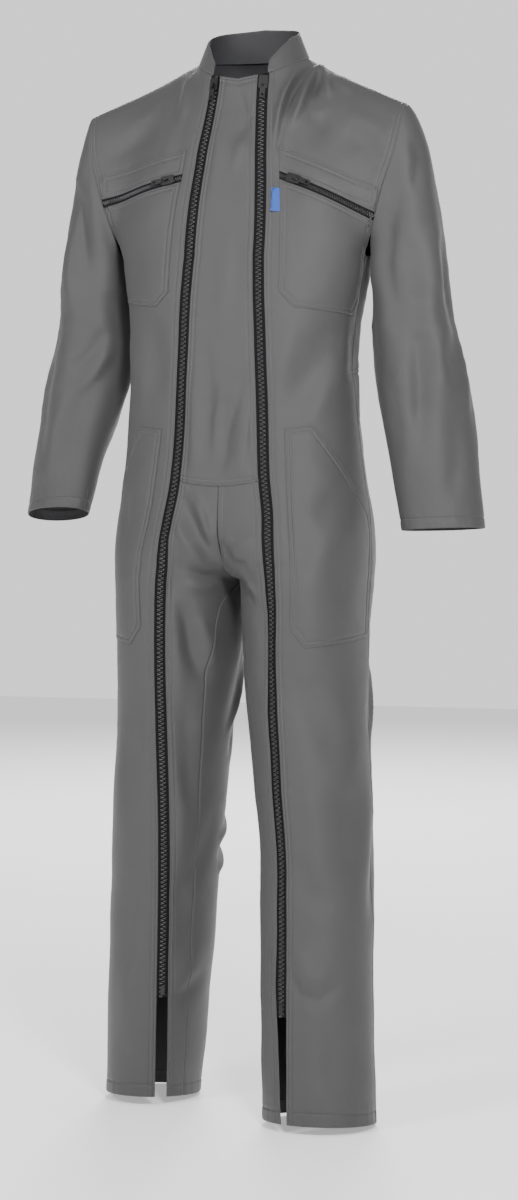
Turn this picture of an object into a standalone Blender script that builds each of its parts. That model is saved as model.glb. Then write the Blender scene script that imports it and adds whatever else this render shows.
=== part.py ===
"""A worn boiler suit with two full-length front zips, made of the pieces that are cut and sewn.

The cloth is one smooth skin, worked out from named sizes and short tables. Each piece is the part
of the skin between its seams, given a wall. Metres, +Z up. The wearer faces -Y and their left is +X.
The origin is the middle of the neck opening, where the collar is sewn on.
"""
import bmesh
import bpy
from collections import namedtuple
from functools import lru_cache
from math import asin, cos, exp, pi, radians, sin
from mathutils import Matrix, Vector
from mathutils.bvhtree import BVHTree

LEFT, RIGHT = 1, -1
SIDES = ((LEFT, "left"), (RIGHT, "right"))
QUARTER = pi / 2

# ---- cloth and hardware -------------------------------------------------------------------------
WALL = 0.0012            # one layer of twill
COLLAR_WALL = 0.0024     # the collar is folded double
TAPE_WALL = 0.0010       # zip tape
GAP = 0.0003             # between neighbours
HALF_GAP = GAP / 2
WELD = 0.00001
SHARED_WALL = 0.8        # cosine up to which a piece's wall follows the whole skin's direction

# ---- heights ------------------------------------------------------------------------------------
ARMPIT = -0.262
BACK_WAIST = -0.425
WAIST = -0.572           # seam at the foot of the bib
WAIST_BOW = 0.009        # it dips this much in the middle
CROTCH_TURN = -0.660     # where the crotch seam starts to turn back
INSEAM_TURN = -0.752     # where the inseam has come round to the front of the leg
CROTCH = -0.712
THIGH = -0.800
SLIT_TOP = -1.295        # end of the long zips
HEM = -1.444
HEM_SLANT_START = -1.200
HEM_SLANT = 0.006        # the hem is higher in front and lower behind by this

# ---- body and legs ------------------------------------------------------------------------------
# One half of the garment is an ellipse round (centre_x, centre_y). Above the crotch it is cut off at
# the middle, where the other half meets it.
Section = namedtuple("Section", "height centre_x half_width front back centre_y")
TORSO = (
    Section(-0.200, 0.000, 0.1850, 0.098, 0.128, -0.026),
    Section(ARMPIT, 0.000, 0.1790, 0.103, 0.126, -0.031),
    Section(-0.320, 0.000, 0.1710, 0.102, 0.119, -0.040),
    Section(-0.370, 0.000, 0.1640, 0.095, 0.114, -0.049),
    Section(-0.415, 0.000, 0.1615, 0.089, 0.112, -0.056),
    Section(-0.460, 0.000, 0.1635, 0.091, 0.108, -0.054),
    Section(-0.520, 0.000, 0.1690, 0.099, 0.118, -0.050),
    Section(-0.573, 0.006, 0.1685, 0.109, 0.130, -0.046),
    Section(-0.610, 0.0160, 0.1620, 0.120, 0.133, -0.039),
    Section(-0.640, 0.0320, 0.1478, 0.125, 0.131, -0.037),
    Section(-0.660, 0.0530, 0.1270, 0.127, 0.128, -0.036),
    Section(-0.680, 0.0690, 0.1108, 0.128, 0.124, -0.036),
    Section(-0.692, 0.0775, 0.1020, 0.127, 0.121, -0.036),
    Section(-0.703, 0.0845, 0.0943, 0.1265, 0.119, -0.037),
    Section(CROTCH, 0.089, 0.0890, 0.126, 0.117, -0.038),
)
LEG = {
    LEFT: (
        Section(-0.790, 0.0930, 0.0865, 0.115, 0.108, -0.048),
        Section(-0.860, 0.0970, 0.0855, 0.104, 0.100, -0.056),
        Section(-0.960, 0.1080, 0.0825, 0.094, 0.092, -0.072),
        Section(-1.080, 0.1210, 0.0790, 0.086, 0.086, -0.088),
        Section(-1.290, 0.1305, 0.0775, 0.080, 0.080, -0.116),
        Section(HEM, 0.1400, 0.0785, 0.075, 0.075, -0.136),
    ),
    RIGHT: (
        Section(-0.790, 0.0925, 0.0865, 0.115, 0.108, -0.041),
        Section(-0.860, 0.0960, 0.0835, 0.104, 0.100, -0.044),
        Section(-0.960, 0.1070, 0.0800, 0.094, 0.092, -0.042),
        Section(-1.080, 0.1175, 0.0775, 0.086, 0.086, -0.039),
        Section(-1.290, 0.1330, 0.0715, 0.082, 0.082, -0.030),
        Section(HEM, 0.1450, 0.0655, 0.080, 0.080, -0.022),
    ),
}
# How far the outer half of a section is from an ellipse towards a rounded box
Square = namedtuple("Square", "height share")
SQUARENESS = (
    Square(-0.200, 0.06), Square(-0.258, 0.06), Square(-0.450, 0.04), Square(-0.600, 0.05),
    Square(-0.650, 0.07), Square(CROTCH, 0.065), Square(-0.790, 0.045), Square(-0.960, 0.0),
    Square(HEM, 0.0),
)
# Angles round a section are 0 in front, 90 degrees at the outer side and 180 behind
Turn = namedtuple("Turn", "height degrees")
INSEAM = (
    Turn(CROTCH, 90.0), Turn(-0.722, 74.0), Turn(-0.732, 67.0), Turn(-0.752, 59.0), Turn(-0.794, 54.0),
    Turn(-0.850, 49.0), Turn(-0.950, 52.0), Turn(-1.080, 55.5), Turn(-1.240, 57.0), Turn(-1.320, 58.0),
    Turn(HEM, 63.0),
)
SIDE_SEAM = (Turn(ARMPIT, 90.0), Turn(-0.36, 95.0), Turn(HEM, 96.0))

# ---- long zips: distance of the chain from the middle --------------------------------------------
Track = namedtuple("Track", "height reach")
ZIP_TRACK = {
    LEFT: (
        Track(-0.185, 0.0460), Track(-0.320, 0.0530), Track(-0.490, 0.0600), Track(-0.567, 0.0645),
        Track(-0.628, 0.0725), Track(-0.740, 0.0780), Track(-0.820, 0.0770), Track(-0.872, 0.0785),
        Track(-0.980, 0.0865), Track(-1.080, 0.0955), Track(-1.270, 0.1030), Track(HEM, 0.1115),
    ),
    RIGHT: (
        Track(-0.185, 0.0460), Track(-0.320, 0.0540), Track(-0.490, 0.0605), Track(-0.567, 0.0645),
        Track(-0.628, 0.0735), Track(-0.740, 0.0830), Track(-0.820, 0.0870), Track(-1.090, 0.0925),
        Track(-1.290, 0.1010), Track(HEM, 0.1090),
    ),
}
ZIP_REACH_AT_NECK = 0.036
BAND_HALF = 0.0080       # the cloth stands back this far from the middle of the chain
UNDERLAP = 0.0060        # the tape runs this far under the cloth
CHAIN_HALF = 0.0035
CHAIN_FOOT = 0.0007      # slope at the chain's edge
CHAIN_RISE = 0.0013      # above the tape
SLIT_HALF_AT_HEM = {LEFT: 0.0047, RIGHT: 0.0085}

# ---- neck, collar, shoulders and armholes --------------------------------------------------------
NECK_HALF_WIDTH, NECK_FRONT, NECK_BACK = 0.080, 0.0735, 0.064
NeckRise = namedtuple("NeckRise", "degrees height")
NECK_RISE = (
    NeckRise(0, -0.011), NeckRise(30, -0.004), NeckRise(60, 0.0105), NeckRise(90, 0.0215),
    NeckRise(120, 0.0275), NeckRise(150, 0.030), NeckRise(180, 0.031),
)
Stand = namedtuple("Stand", "degrees height")
COLLAR_STAND = (
    Stand(31, 0.004), Stand(33, 0.015), Stand(40, 0.021), Stand(48, 0.0265), Stand(57, 0.030),
    Stand(70, 0.034), Stand(90, 0.0345), Stand(120, 0.037), Stand(180, 0.041),
)
COLLAR_LEAN = 0.40       # inwards for each unit of height
COLLAR_COLUMNS = (31, 32, 34, 37, 41, 47, 55, 66, 80, 96, 115, 136, 158, 180)
SHOULDER_ON_NECK = radians(96)
SHOULDER_TIP = Vector((0.234, -0.030, -0.052))
SHOULDER_SAG = 0.003
Arm = namedtuple("Arm", "height reach")
ARMHOLE_LEAN = (
    Arm(-0.052, 0.2340), Arm(-0.116, 0.2245), Arm(-0.150, 0.2135), Arm(-0.195, 0.2005), Arm(ARMPIT, 0.1790),
)
UNDERARM_Y, ARMHOLE_FRONT, ARMHOLE_BACK = -0.031, 0.038, 0.056

# ---- sleeves -------------------------------------------------------------------------------------
Ring = namedtuple("Ring", "height centre_x centre_y half_width half_depth turn")
SLEEVE_START = -0.300
SLEEVE = {
    LEFT: (
        Ring(SLEEVE_START, 0.2350, -0.022, 0.0565, 0.0600, 10.0),
        Ring(-0.370, 0.2405, -0.021, 0.0600, 0.0560, 14.0),
        Ring(-0.460, 0.2555, -0.022, 0.0625, 0.0500, 17.0),
        Ring(-0.545, 0.2715, -0.027, 0.0605, 0.0420, 18.0),
        Ring(-0.641, 0.2860, -0.032, 0.0580, 0.0340, 18.0),
    ),
    RIGHT: (
        Ring(SLEEVE_START, 0.2310, -0.022, 0.0525, 0.0600, 10.0),
        Ring(-0.370, 0.2360, -0.021, 0.0580, 0.0560, 14.0),
        Ring(-0.460, 0.2540, -0.022, 0.0610, 0.0500, 18.0),
        Ring(-0.545, 0.2750, -0.027, 0.0570, 0.0420, 24.0),
        Ring(-0.622, 0.2890, -0.032, 0.0540, 0.0340, 26.0),
    ),
}
SLEEVE_TILT_START = -0.450
CUFF_TILT = {LEFT: 0.06, RIGHT: 0.27}    # the cuff is higher in front
CUFF_ROLL = {LEFT: 0.05, RIGHT: 0.0}     # and higher outside
CAP_PULL = {LEFT: 0.48, RIGHT: 0.18}     # how far the sleeve head bulges before it turns down
UNDERARM_PULL = 0.9
CAP_SPREAD, CAP_LIFT = 0.95, 0.25        # how far it leaves the armhole outwards and level

# ---- how the cloth turns over the shoulders ------------------------------------------------------
FRONT_FOOT_PULL = 0.9                    # cloth leaves the armpit section along the section below
TOP_LEAN = 0.45                          # share across a front within which its top leans back fully
LEAN_AT_ZIP = Vector((0, 0.30, 1.0))     # direction and strength with which it meets the neckline
LEAN_AT_SHOULDER = Vector((0, 1.0, 0.45))
PULL_AT_ZIP, PULL_AT_SHOULDER = 0.9, 0.55
BACK_LEAN = Vector((0, -1.0, 0.55))
PULL_AT_BACK = 0.5
ROUNDING = 0.28                          # share of the top edge over which its corner is rounded

# ---- broad soft folds, as lines seen from in front or behind -------------------------------------
# Positive depth stands out of the cloth. Right of the wearer is negative x.
Fold = namedtuple("Fold", "facing x z x_end z_end width depth")
FRONT, BACK = -1, 1
FOLDS = (
    Fold(FRONT, -0.003, -0.028, 0.013, -0.085, 0.024, -0.0050),     # hollow in the top of the bib
    Fold(FRONT, -0.030, -0.440, -0.026, -0.545, 0.020, 0.0035),     # bib blouses over the waist seam
    Fold(FRONT, 0.030, -0.460, 0.026, -0.550, 0.020, 0.0040),
    Fold(FRONT, 0.000, -0.470, 0.000, -0.555, 0.014, -0.0030),
    Fold(FRONT, 0.080, -0.010, 0.056, -0.120, 0.020, 0.0040),       # pulled from the left neck point
    Fold(FRONT, 0.100, -0.020, 0.120, -0.090, 0.020, -0.0030),
    Fold(FRONT, -0.085, -0.010, -0.062, -0.110, 0.020, 0.0025),
    Fold(FRONT, -0.249, -0.180, -0.236, -0.370, 0.022, -0.0050),    # long hollows and ridges of the sleeves
    Fold(FRONT, -0.270, -0.400, -0.296, -0.560, 0.020, 0.0035),
    Fold(FRONT, 0.279, -0.240, 0.290, -0.450, 0.020, 0.0040),
    Fold(FRONT, 0.250, -0.260, 0.262, -0.470, 0.018, -0.0040),
    Fold(FRONT, 0.014, -0.690, 0.062, -0.650, 0.016, 0.0035),       # drawn from the crotch
    Fold(FRONT, -0.014, -0.690, -0.062, -0.655, 0.016, 0.0035),
    Fold(FRONT, -0.070, -0.770, -0.060, -0.900, 0.024, -0.0040),    # inner thighs
    Fold(FRONT, 0.060, -0.760, 0.064, -0.860, 0.022, -0.0030),
    Fold(BACK, -0.100, -0.385, 0.100, -0.385, 0.026, 0.0050),       # back blouses over its waist seam
    Fold(BACK, -0.080, -0.250, -0.130, -0.130, 0.030, -0.0040),
    Fold(BACK, 0.085, -0.260, 0.135, -0.140, 0.030, -0.0045),
    Fold(BACK, 0.250, -0.370, 0.280, -0.420, 0.024, -0.0045),       # behind the elbows
    Fold(BACK, -0.250, -0.380, -0.285, -0.430, 0.024, -0.0045),
    Fold(BACK, 0.070, -0.730, 0.160, -0.760, 0.024, -0.0040),       # under the seat
    Fold(BACK, -0.070, -0.735, -0.160, -0.760, 0.024, -0.0040),
    Fold(BACK, 0.090, -1.000, 0.160, -1.020, 0.026, -0.0040),       # behind the knees
    Fold(BACK, -0.090, -0.990, -0.160, -1.020, 0.026, -0.0040),
)

# ---- how finely the skin is divided --------------------------------------------------------------
INNER_COLUMNS = 3        # middle to the zip's underlap
NECK_COLUMNS = 2         # zip's underlap to below the shoulder's neck end
SHOULDER_COLUMNS = 4     # on to the side seam or armhole
BACK_NECK_COLUMNS = 3
NECK_SHARE = 0.36        # share of a front that lies below the neckline
UPPER_ROWS = 8           # armpit to shoulder
CAP_ROWS = 4             # armhole to SLEEVE_START
SLEEVE_ROWS = 8          # on to the cuff

# ---- pockets: corners as (share across the side front, height) -----------------------------------
PATCH_VIEW = radians(35)     # patches are cut square to this direction, measured from the front
CHEST_POCKET = dict(
    top_inner=(0.108, -0.112), top_outer=(0.950, -0.157),
    chamfer_outer=(0.820, -0.335), chamfer_inner=(0.210, -0.334), low_inner=(0.121, -0.313),
)
CHEST_LOW_OUTER = {LEFT: (0.930, -0.312), RIGHT: (0.860, -0.312)}
CHEST_ZIP_INNER = (0.100, -0.146)
CHEST_ZIP_OUTER = (0.950, -0.190)
CHEST_ZIP_BAND = 0.0105
ABOVE_CHEST_ZIP, BELOW_CHEST_ZIP = (0.5, -0.145), (0.5, -0.250)
CHEST_CHAIN_HALF = 0.0026
CHEST_DROP = {LEFT: -0.013, RIGHT: 0.015}    # of the outer corners, as the shoulders hang
HIP_POCKET = dict(
    top_inner=(0.140, -0.503), slant_top=(0.345, -0.499), slant_low=(0.940, -0.618),
    chamfer_low=(0.300, -0.801), chamfer_inner=(0.182, -0.776), side_low=(0.97, -0.790),
)
HIP_MIDDLE = (0.5, -0.68)
LABEL_TOP, LABEL_LOW = (0.108, -0.1705), (0.1125, -0.2035)
LABEL_WIDTH = 0.0090
LABEL_WALL = 0.0010

# ---- sliders -------------------------------------------------------------------------------------
PLATE_LENGTH, PLATE_WIDTH, PLATE_WALL = 0.020, 0.013, 0.0016
PLATE_CORNER = 0.0022
RAIL_WIDTH, RAIL_DEPTH, RAIL_LENGTH = 0.0014, 0.0010, 0.0120
POST, WINDOW_LENGTH, WINDOW_HEIGHT, ARCH_BAR, ARCH_WIDTH = 0.0013, 0.0040, 0.0020, 0.0010, 0.0020
AXIS_FROM_POST = 0.0012      # hinge axis to the near face of the lower post
AXIS_TO_PLATE_END = 0.0070
PULL_WALL = 0.0010
PULL_ROOT_WIDTH, PULL_OPENING_WIDTH, PULL_OPENING = 0.0050, 0.0029, 0.0055
PULL_WIDTH, PULL_LENGTH = 0.0073, 0.0215
PULL_EYE_WIDTH, PULL_EYE_LENGTH, PULL_EYE_MARGIN = 0.0034, 0.0040, 0.0022
PULL_NECK, PULL_CORNER = 0.0015, 0.0010
OVERLAP = 0.0004             # joined shapes run this far into each other
INSET = 0.98                 # and are this much narrower, so that no faces lie on each other
SLIDER_BELOW_NECK = 0.0135
CHEST_SLIDER_SHARE = 0.13    # along the chest zip from its inner end
CHEST_SLIDER_STEP = 0.06
END_BLOCK = Vector((0.0062, 0.0140, 0.0014))
END_BLOCK_CORNER = 0.0015
SEAT_ROWS = 8
SEAT_HEIGHT = 0.010

# ---- finishes ------------------------------------------------------------------------------------
Finish = namedtuple("Finish", "colour roughness metallic")
FINISHES = {
    "twill": Finish((0.152, 0.152, 0.160, 1), 0.85, 0.0),
    "zip_tape": Finish((0.010, 0.010, 0.011, 1), 0.80, 0.0),
    "zip_stop": Finish((0.012, 0.012, 0.013, 1), 0.40, 0.0),
    "painted_zinc": Finish((0.014, 0.014, 0.015, 1), 0.35, 0.3),
    "label_weave": Finish((0.085, 0.205, 0.520, 1), 0.75, 0.0),
}


# ---- curves --------------------------------------------------------------------------------------
def smooth(table, column, at):
    """A table's column at a place in its first column, on a smooth curve through the rows."""
    places = [row[0] for row in table]
    values = [getattr(row, column) for row in table]
    if places[0] > places[-1]:
        places, values = places[::-1], values[::-1]
    at = min(max(at, places[0]), places[-1])
    low = max(k for k in range(len(places) - 1) if places[k] <= at)
    span = places[low + 1] - places[low]

    def slope(k):
        before, after = max(k - 1, 0), min(k + 1, len(places) - 1)
        return (values[after] - values[before]) / (places[after] - places[before])

    return hermite(values[low], values[low + 1], slope(low) * span, slope(low + 1) * span,
                   (at - places[low]) / span)


def hermite(start, end, start_pull, end_pull, t):
    """A cubic between two places that leaves and arrives along the two pulls."""
    return (start * (2 * t ** 3 - 3 * t * t + 1) + start_pull * (t ** 3 - 2 * t * t + t)
            + end * (3 * t * t - 2 * t ** 3) + end_pull * (t ** 3 - t * t))


def ease(t):
    t = min(max(t, 0.0), 1.0)
    return t * t * (3 - 2 * t)


def spaced(start, end, steps):
    """The places after start, up to and with end."""
    return [start + (end - start) * (k + 1) / steps for k in range(steps)]


def mirrored(side, point):
    return Vector((side * point[0], point[1], point[2]))


# ---- body below the armpits ----------------------------------------------------------------------
@lru_cache(maxsize=None)
def section(side, height):
    table = TORSO + LEG[side]
    return Section(height, *(smooth(table, name, height) for name in Section._fields[1:]))


def body_point(side, angle, height):
    part = section(side, height)
    boxy = 1 + smooth(SQUARENESS, "share", height) * sin(2 * angle) ** 2 if sin(angle) > 0 else 1.0
    depth = part.front if cos(angle) > 0 else part.back
    slant = HEM_SLANT * max(0.0, (HEM_SLANT_START - height) / (HEM_SLANT_START - HEM))
    return Vector((side * (part.centre_x + part.half_width * sin(angle) * boxy),
                   part.centre_y - depth * cos(angle) * boxy,
                   height + slant * cos(angle)))


def middle_angle(side, height):
    """Where the middle seam is, or the inseam below the crotch."""
    if height > CROTCH:
        part = section(side, height)
        return -asin(min(1.0, part.centre_x / part.half_width))
    return -radians(smooth(INSEAM, "degrees", height))


@lru_cache(maxsize=None)
def seam_angle(height):
    return radians(smooth(SIDE_SEAM, "degrees", height))


@lru_cache(maxsize=None)
def zip_angle(side, height):
    """The angle where the long zip's track crosses a section."""
    reach = smooth(ZIP_TRACK[side], "reach", height)
    low, high = -QUARTER, QUARTER
    for _ in range(30):
        angle = (low + high) / 2
        if abs(body_point(side, angle, height).x) < reach:
            low = angle
        else:
            high = angle
    return (low + high) / 2


def front_angle(side, across, height):
    """Across the front: -1 at the middle, 0 at the zip, 1 at the side seam."""
    track = zip_angle(side, height)
    if across < 0:
        return track + (track - middle_angle(side, height)) * across
    return track + (seam_angle(height) - track) * across


def back_angle(side, across, height):
    """Across the back: 0 at the middle, 1 at the side seam."""
    middle = pi - middle_angle(side, height) if height > CROTCH else 2 * pi + middle_angle(side, height)
    return middle + (seam_angle(height) - middle) * across


def lower_front(side, across, height):
    point = body_point(side, front_angle(side, across, height), height)
    if across == -1 and height > CROTCH:
        point.x = 0
    return point


def lower_back(side, across, height):
    point = body_point(side, back_angle(side, across, height), height)
    if across == 0 and height > CROTCH:
        point.x = 0
    return point


# ---- neck, shoulders and armholes ----------------------------------------------------------------
def neck(angle):
    depth = NECK_FRONT if cos(angle) > 0 else NECK_BACK
    return Vector((NECK_HALF_WIDTH * sin(angle), -depth * cos(angle),
                   smooth(NECK_RISE, "height", angle * 180 / pi)))


ZIP_ON_NECK = asin(ZIP_REACH_AT_NECK / NECK_HALF_WIDTH)


def shoulder(along):
    """The left shoulder seam, 0 at the neck and 1 at the tip."""
    start = neck(SHOULDER_ON_NECK)
    point = start + (SHOULDER_TIP - start) * along
    point.z -= SHOULDER_SAG * sin(pi * along)
    return point


def armhole(side, turn):
    """Round the armhole: 0 under the arm, 0.25 in front, 0.5 at the tip, 0.75 behind."""
    angle = 2 * pi * turn
    top = SHOULDER_TIP.z
    height = (top + ARMPIT) / 2 - (top - ARMPIT) / 2 * cos(angle)
    middle = UNDERARM_Y + (SHOULDER_TIP.y - UNDERARM_Y) * (1 - cos(angle)) / 2
    reach = ARMHOLE_FRONT if sin(angle) > 0 else ARMHOLE_BACK
    return Vector((side * smooth(ARMHOLE_LEAN, "reach", height), middle - reach * sin(angle), height))


def top_edge(side, across, neck_start):
    """Top edge of a front or back: the neckline from neck_start, then the shoulder seam."""
    if across < 0:
        return mirrored(side, neck(neck_start * (1 + across)))
    if across < NECK_SHARE:
        share = across / NECK_SHARE
        return mirrored(side, neck(neck_start + (SHOULDER_ON_NECK - neck_start) * share))
    return mirrored(side, shoulder((across - NECK_SHARE) / (1 - NECK_SHARE)))


def rounded_top_edge(side, across, neck_start):
    """The top edge with the corner between neckline and shoulder rounded off."""
    reach = min(ROUNDING, max(across, 0), 1 - across)
    return sum((top_edge(side, across + reach * k / 3, neck_start) for k in range(-3, 4)), Vector()) / 7


def upper_cloth(side, across, rise, neck_start, foot, foot_pull, top_pull, turn):
    """Cloth from the armpit section up to the top edge, drawn sideways to the armhole."""
    edge = top_edge(side, across, neck_start)
    soft = rounded_top_edge(side, across, neck_start)

    def column(place, end):
        start = foot(place)
        length = (end - start).length
        return hermite(start, end, foot_pull(place) * length, top_pull(place) * length, rise)

    point = column(across, soft) + (edge - soft) * rise ** 4
    if across > 0:
        drawn = armhole(side, turn) - column(1.0, top_edge(side, 1.0, neck_start))
        point += drawn * across ** 1.5
    return point


def climb(point_at):
    """Direction in which the cloth below leaves the armpit section."""
    step = 0.004
    return (point_at(ARMPIT + step) - point_at(ARMPIT - step)) / (2 * step)


def upper_front(side, across, rise):
    def foot_angle(place):
        track = zip_angle(side, ARMPIT)
        return track * (1 + place) if place < 0 else track + (QUARTER - track) * place

    def foot_pull(place):
        return climb(lambda height: body_point(side, foot_angle(place), height)) * FRONT_FOOT_PULL

    def top_pull(place):
        share = ease(place / TOP_LEAN)
        lean = LEAN_AT_ZIP.lerp(LEAN_AT_SHOULDER, share)
        return lean.normalized() * (PULL_AT_ZIP + (PULL_AT_SHOULDER - PULL_AT_ZIP) * share)

    return upper_cloth(side, across, rise, ZIP_ON_NECK,
                       lambda place: body_point(side, foot_angle(place), ARMPIT),
                       foot_pull, top_pull, 0.5 * rise)


def upper_back(side, across, rise):
    def foot_angle(place):
        return pi - QUARTER * place

    def foot_pull(place):
        return climb(lambda height: body_point(side, foot_angle(place), height))

    def top_pull(place):
        return BACK_LEAN.normalized() * PULL_AT_BACK

    return upper_cloth(side, across, rise, pi,
                       lambda place: body_point(side, foot_angle(place), ARMPIT),
                       foot_pull, top_pull, 1 - 0.5 * rise)


# ---- sleeves -------------------------------------------------------------------------------------
def sleeve_point(side, turn, height):
    """Round the sleeve at a height, turning as armhole() does."""
    ring = Ring(height, *(smooth(SLEEVE[side], name, height) for name in Ring._fields[1:]))
    out, forward = -ring.half_width * cos(2 * pi * turn), ring.half_depth * sin(2 * pi * turn)
    twist = radians(ring.turn)
    x = out * cos(twist) + forward * sin(twist)
    y = out * sin(twist) - forward * cos(twist)
    tilt = max(0.0, (SLEEVE_TILT_START - height) / (SLEEVE_TILT_START - SLEEVE[side][-1].height))
    lift = tilt * (CUFF_ROLL[side] * x - CUFF_TILT[side] * y)
    return Vector((side * (ring.centre_x + x), ring.centre_y + y, height + lift))


def sleeve_cap(side, turn, along):
    """From the armhole, 0, to the first ring, 1."""
    start = armhole(side, turn)
    end = sleeve_point(side, turn, SLEEVE_START)
    length = (end - start).length
    outer = (1 - cos(2 * pi * turn)) / 2
    leave = Vector((side * CAP_SPREAD * outer ** 1.5, 0, CAP_LIFT * outer - 1)).normalized()
    arrive = sleeve_point(side, turn, SLEEVE_START - 0.004) - end
    return hermite(start, end, leave * length * (UNDERARM_PULL + (CAP_PULL[side] - UNDERARM_PULL) * outer),
                   arrive.normalized() * length, along)


def collar_point(angle, height):
    inward = Vector((-sin(angle), cos(angle), 0)) * COLLAR_LEAN
    return neck(angle) + (inward + Vector((0, 0, 1))) * height


# ---- the skin ------------------------------------------------------------------------------------
def lower_heights():
    heights = [ARMPIT] + spaced(ARMPIT, BACK_WAIST, 4) + spaced(BACK_WAIST, WAIST, 4)
    heights += spaced(WAIST, CROTCH_TURN, 3)
    heights += [CROTCH + (CROTCH_TURN - CROTCH) * (1 - sin(turn)) for turn in spaced(0, QUARTER, 5)]
    heights += spaced(CROTCH, INSEAM_TURN, 3) + spaced(INSEAM_TURN, THIGH, 2)
    return heights + spaced(THIGH, SLIT_TOP, 8) + spaced(SLIT_TOP, HEM, 3)


def band_half(side, height):
    """Half the opening between the cloth edges, which narrows down the leg slit."""
    if height > SLIT_TOP:
        return BAND_HALF
    return BAND_HALF + (SLIT_HALF_AT_HEM[side] - BAND_HALF) * (SLIT_TOP - height) / (SLIT_TOP - HEM)


def zip_stations(half):
    """Places across the zip: under the cloth, cloth edge, chain foot and chain top, on both sides."""
    outer = (half + UNDERLAP, half, CHAIN_HALF + CHAIN_FOOT, CHAIN_HALF)
    return [-place for place in outer] + list(outer[::-1])


def front_stations(point_at, half):
    """Shares across the front for all its columns, from the middle to the side seam."""
    step = 0.001
    inner = (point_at(-step) - point_at(0)).length / step
    outer = (point_at(step) - point_at(0)).length / step
    across = [place / (inner if place < 0 else outer) for place in zip_stations(half)]
    first, last = across[0], across[-1]
    middle = [-1 + (first + 1) * k / INNER_COLUMNS for k in range(INNER_COLUMNS)]
    return (middle + across + spaced(last, NECK_SHARE, NECK_COLUMNS)
            + spaced(NECK_SHARE, 1.0, SHOULDER_COLUMNS))


BACK_STATIONS = ([1.0] + spaced(1.0, NECK_SHARE, SHOULDER_COLUMNS)
                 + spaced(NECK_SHARE, 0.0, BACK_NECK_COLUMNS))
ZIP_FIRST = INNER_COLUMNS            # station numbers across the front
ZIP_LAST = INNER_COLUMNS + 7
CHAIN_STATIONS = (INNER_COLUMNS + 3, INNER_COLUMNS + 4)
OPEN_COLUMNS = range(INNER_COLUMNS + 1, INNER_COLUMNS + 6)
STRIP_COLUMNS = range(ZIP_FIRST, ZIP_LAST)

PIECES = ("none", "bib", "inner_leg", "side_front", "back_body", "back_leg", "sleeve")


def add_patch(skin, rows, piece_of, reverse, strip_of=None):
    """Add a grid of cloth. rows holds a point for each corner; piece_of names each face."""
    made = bmesh.ops.create_grid(skin, x_segments=len(rows[0]) - 1, y_segments=len(rows) - 1, size=0.5)
    columns, lines = len(rows[0]) - 1, len(rows) - 1
    piece, strip = skin.faces.layers.int["piece"], skin.faces.layers.int["strip"]
    chain = skin.verts.layers.float["chain"]
    faces = {face for vert in made["verts"] for face in vert.link_faces}
    for face in faces:
        middle = face.calc_center_median()
        row, column = int((middle.y + 0.5) * lines), int((middle.x + 0.5) * columns)
        face[piece] = PIECES.index(piece_of(row, column))
        face[strip] = 1 if strip_of and strip_of(row, column) else 0
    for vert in made["verts"]:
        row, column = round((vert.co.y + 0.5) * lines), round((vert.co.x + 0.5) * columns)
        vert.co = rows[row][column]
        vert[chain] = 1.0 if strip_of and column in CHAIN_STATIONS else 0.0
    if reverse:
        bmesh.ops.reverse_faces(skin, faces=list(faces))


def add_body(skin, side):
    heights = lower_heights()
    rows = []
    for height in heights:
        stations = front_stations(lambda place: lower_front(side, place, height), band_half(side, height))
        row = []
        for place in stations:
            bow = WAIST_BOW * (1 - (1 + place) ** 2) if height == WAIST and place < 0 else 0.0
            row.append(lower_front(side, place, height - bow))
        rows.append(row + [lower_back(side, place, height) for place in BACK_STATIONS[1:]])
    waist, back_waist, slit = heights.index(WAIST), heights.index(BACK_WAIST), heights.index(SLIT_TOP)
    seam = len(stations) - 1

    def front_piece(row, column):
        if column in OPEN_COLUMNS:
            return "none"
        if column > ZIP_FIRST:
            return "side_front"
        return "bib" if row < waist else "inner_leg"

    def lower_piece(row, column):
        if column < seam:
            return front_piece(row, column)
        return "back_body" if row < back_waist else "back_leg"

    add_patch(skin, rows, lower_piece, side == LEFT,
              lambda row, column: row < slit and column in STRIP_COLUMNS)

    rises = [k / UPPER_ROWS for k in range(UPPER_ROWS + 1)]
    rows = []
    for rise in rises:
        stations = front_stations(lambda place: upper_front(side, place, rise), BAND_HALF)
        rows.append([upper_front(side, place, rise) for place in stations])
    add_patch(skin, rows, lambda row, column: front_piece(0, column), side == RIGHT,
              lambda row, column: column in STRIP_COLUMNS)
    rows = [[upper_back(side, place, rise) for place in BACK_STATIONS] for rise in rises]
    add_patch(skin, rows, lambda row, column: "back_body", side == RIGHT)


def add_sleeve(skin, side):
    turns = [k / (2 * UPPER_ROWS) for k in range(2 * UPPER_ROWS + 1)]
    rows = [[sleeve_cap(side, turn, k / CAP_ROWS) for turn in turns] for k in range(CAP_ROWS + 1)]
    cuff = SLEEVE[side][-1].height
    rows += [[sleeve_point(side, turn, height) for turn in turns]
             for height in spaced(SLEEVE_START, cuff, SLEEVE_ROWS)]
    add_patch(skin, rows, lambda row, column: "sleeve", side == LEFT)


def fold_depth(point, normal):
    """How far the folds move a point of the skin out."""
    depth = 0.0
    for fold in FOLDS:
        towards = ease(fold.facing * normal.y / 0.5)
        run = Vector((fold.x_end - fold.x, fold.z_end - fold.z))
        place = Vector((point.x - fold.x, point.z - fold.z))
        share = min(max(place.dot(run) / run.length_squared, 0.0), 1.0)
        away = (place - run * share).length / fold.width
        depth += fold.depth * towards * exp(-away * away)
    return depth


def press_folds(skin):
    skin.normal_update()
    moves = [vert.normal * fold_depth(vert.co, vert.normal) for vert in skin.verts]
    for vert, move in zip(skin.verts, moves):
        vert.co += move


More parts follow.
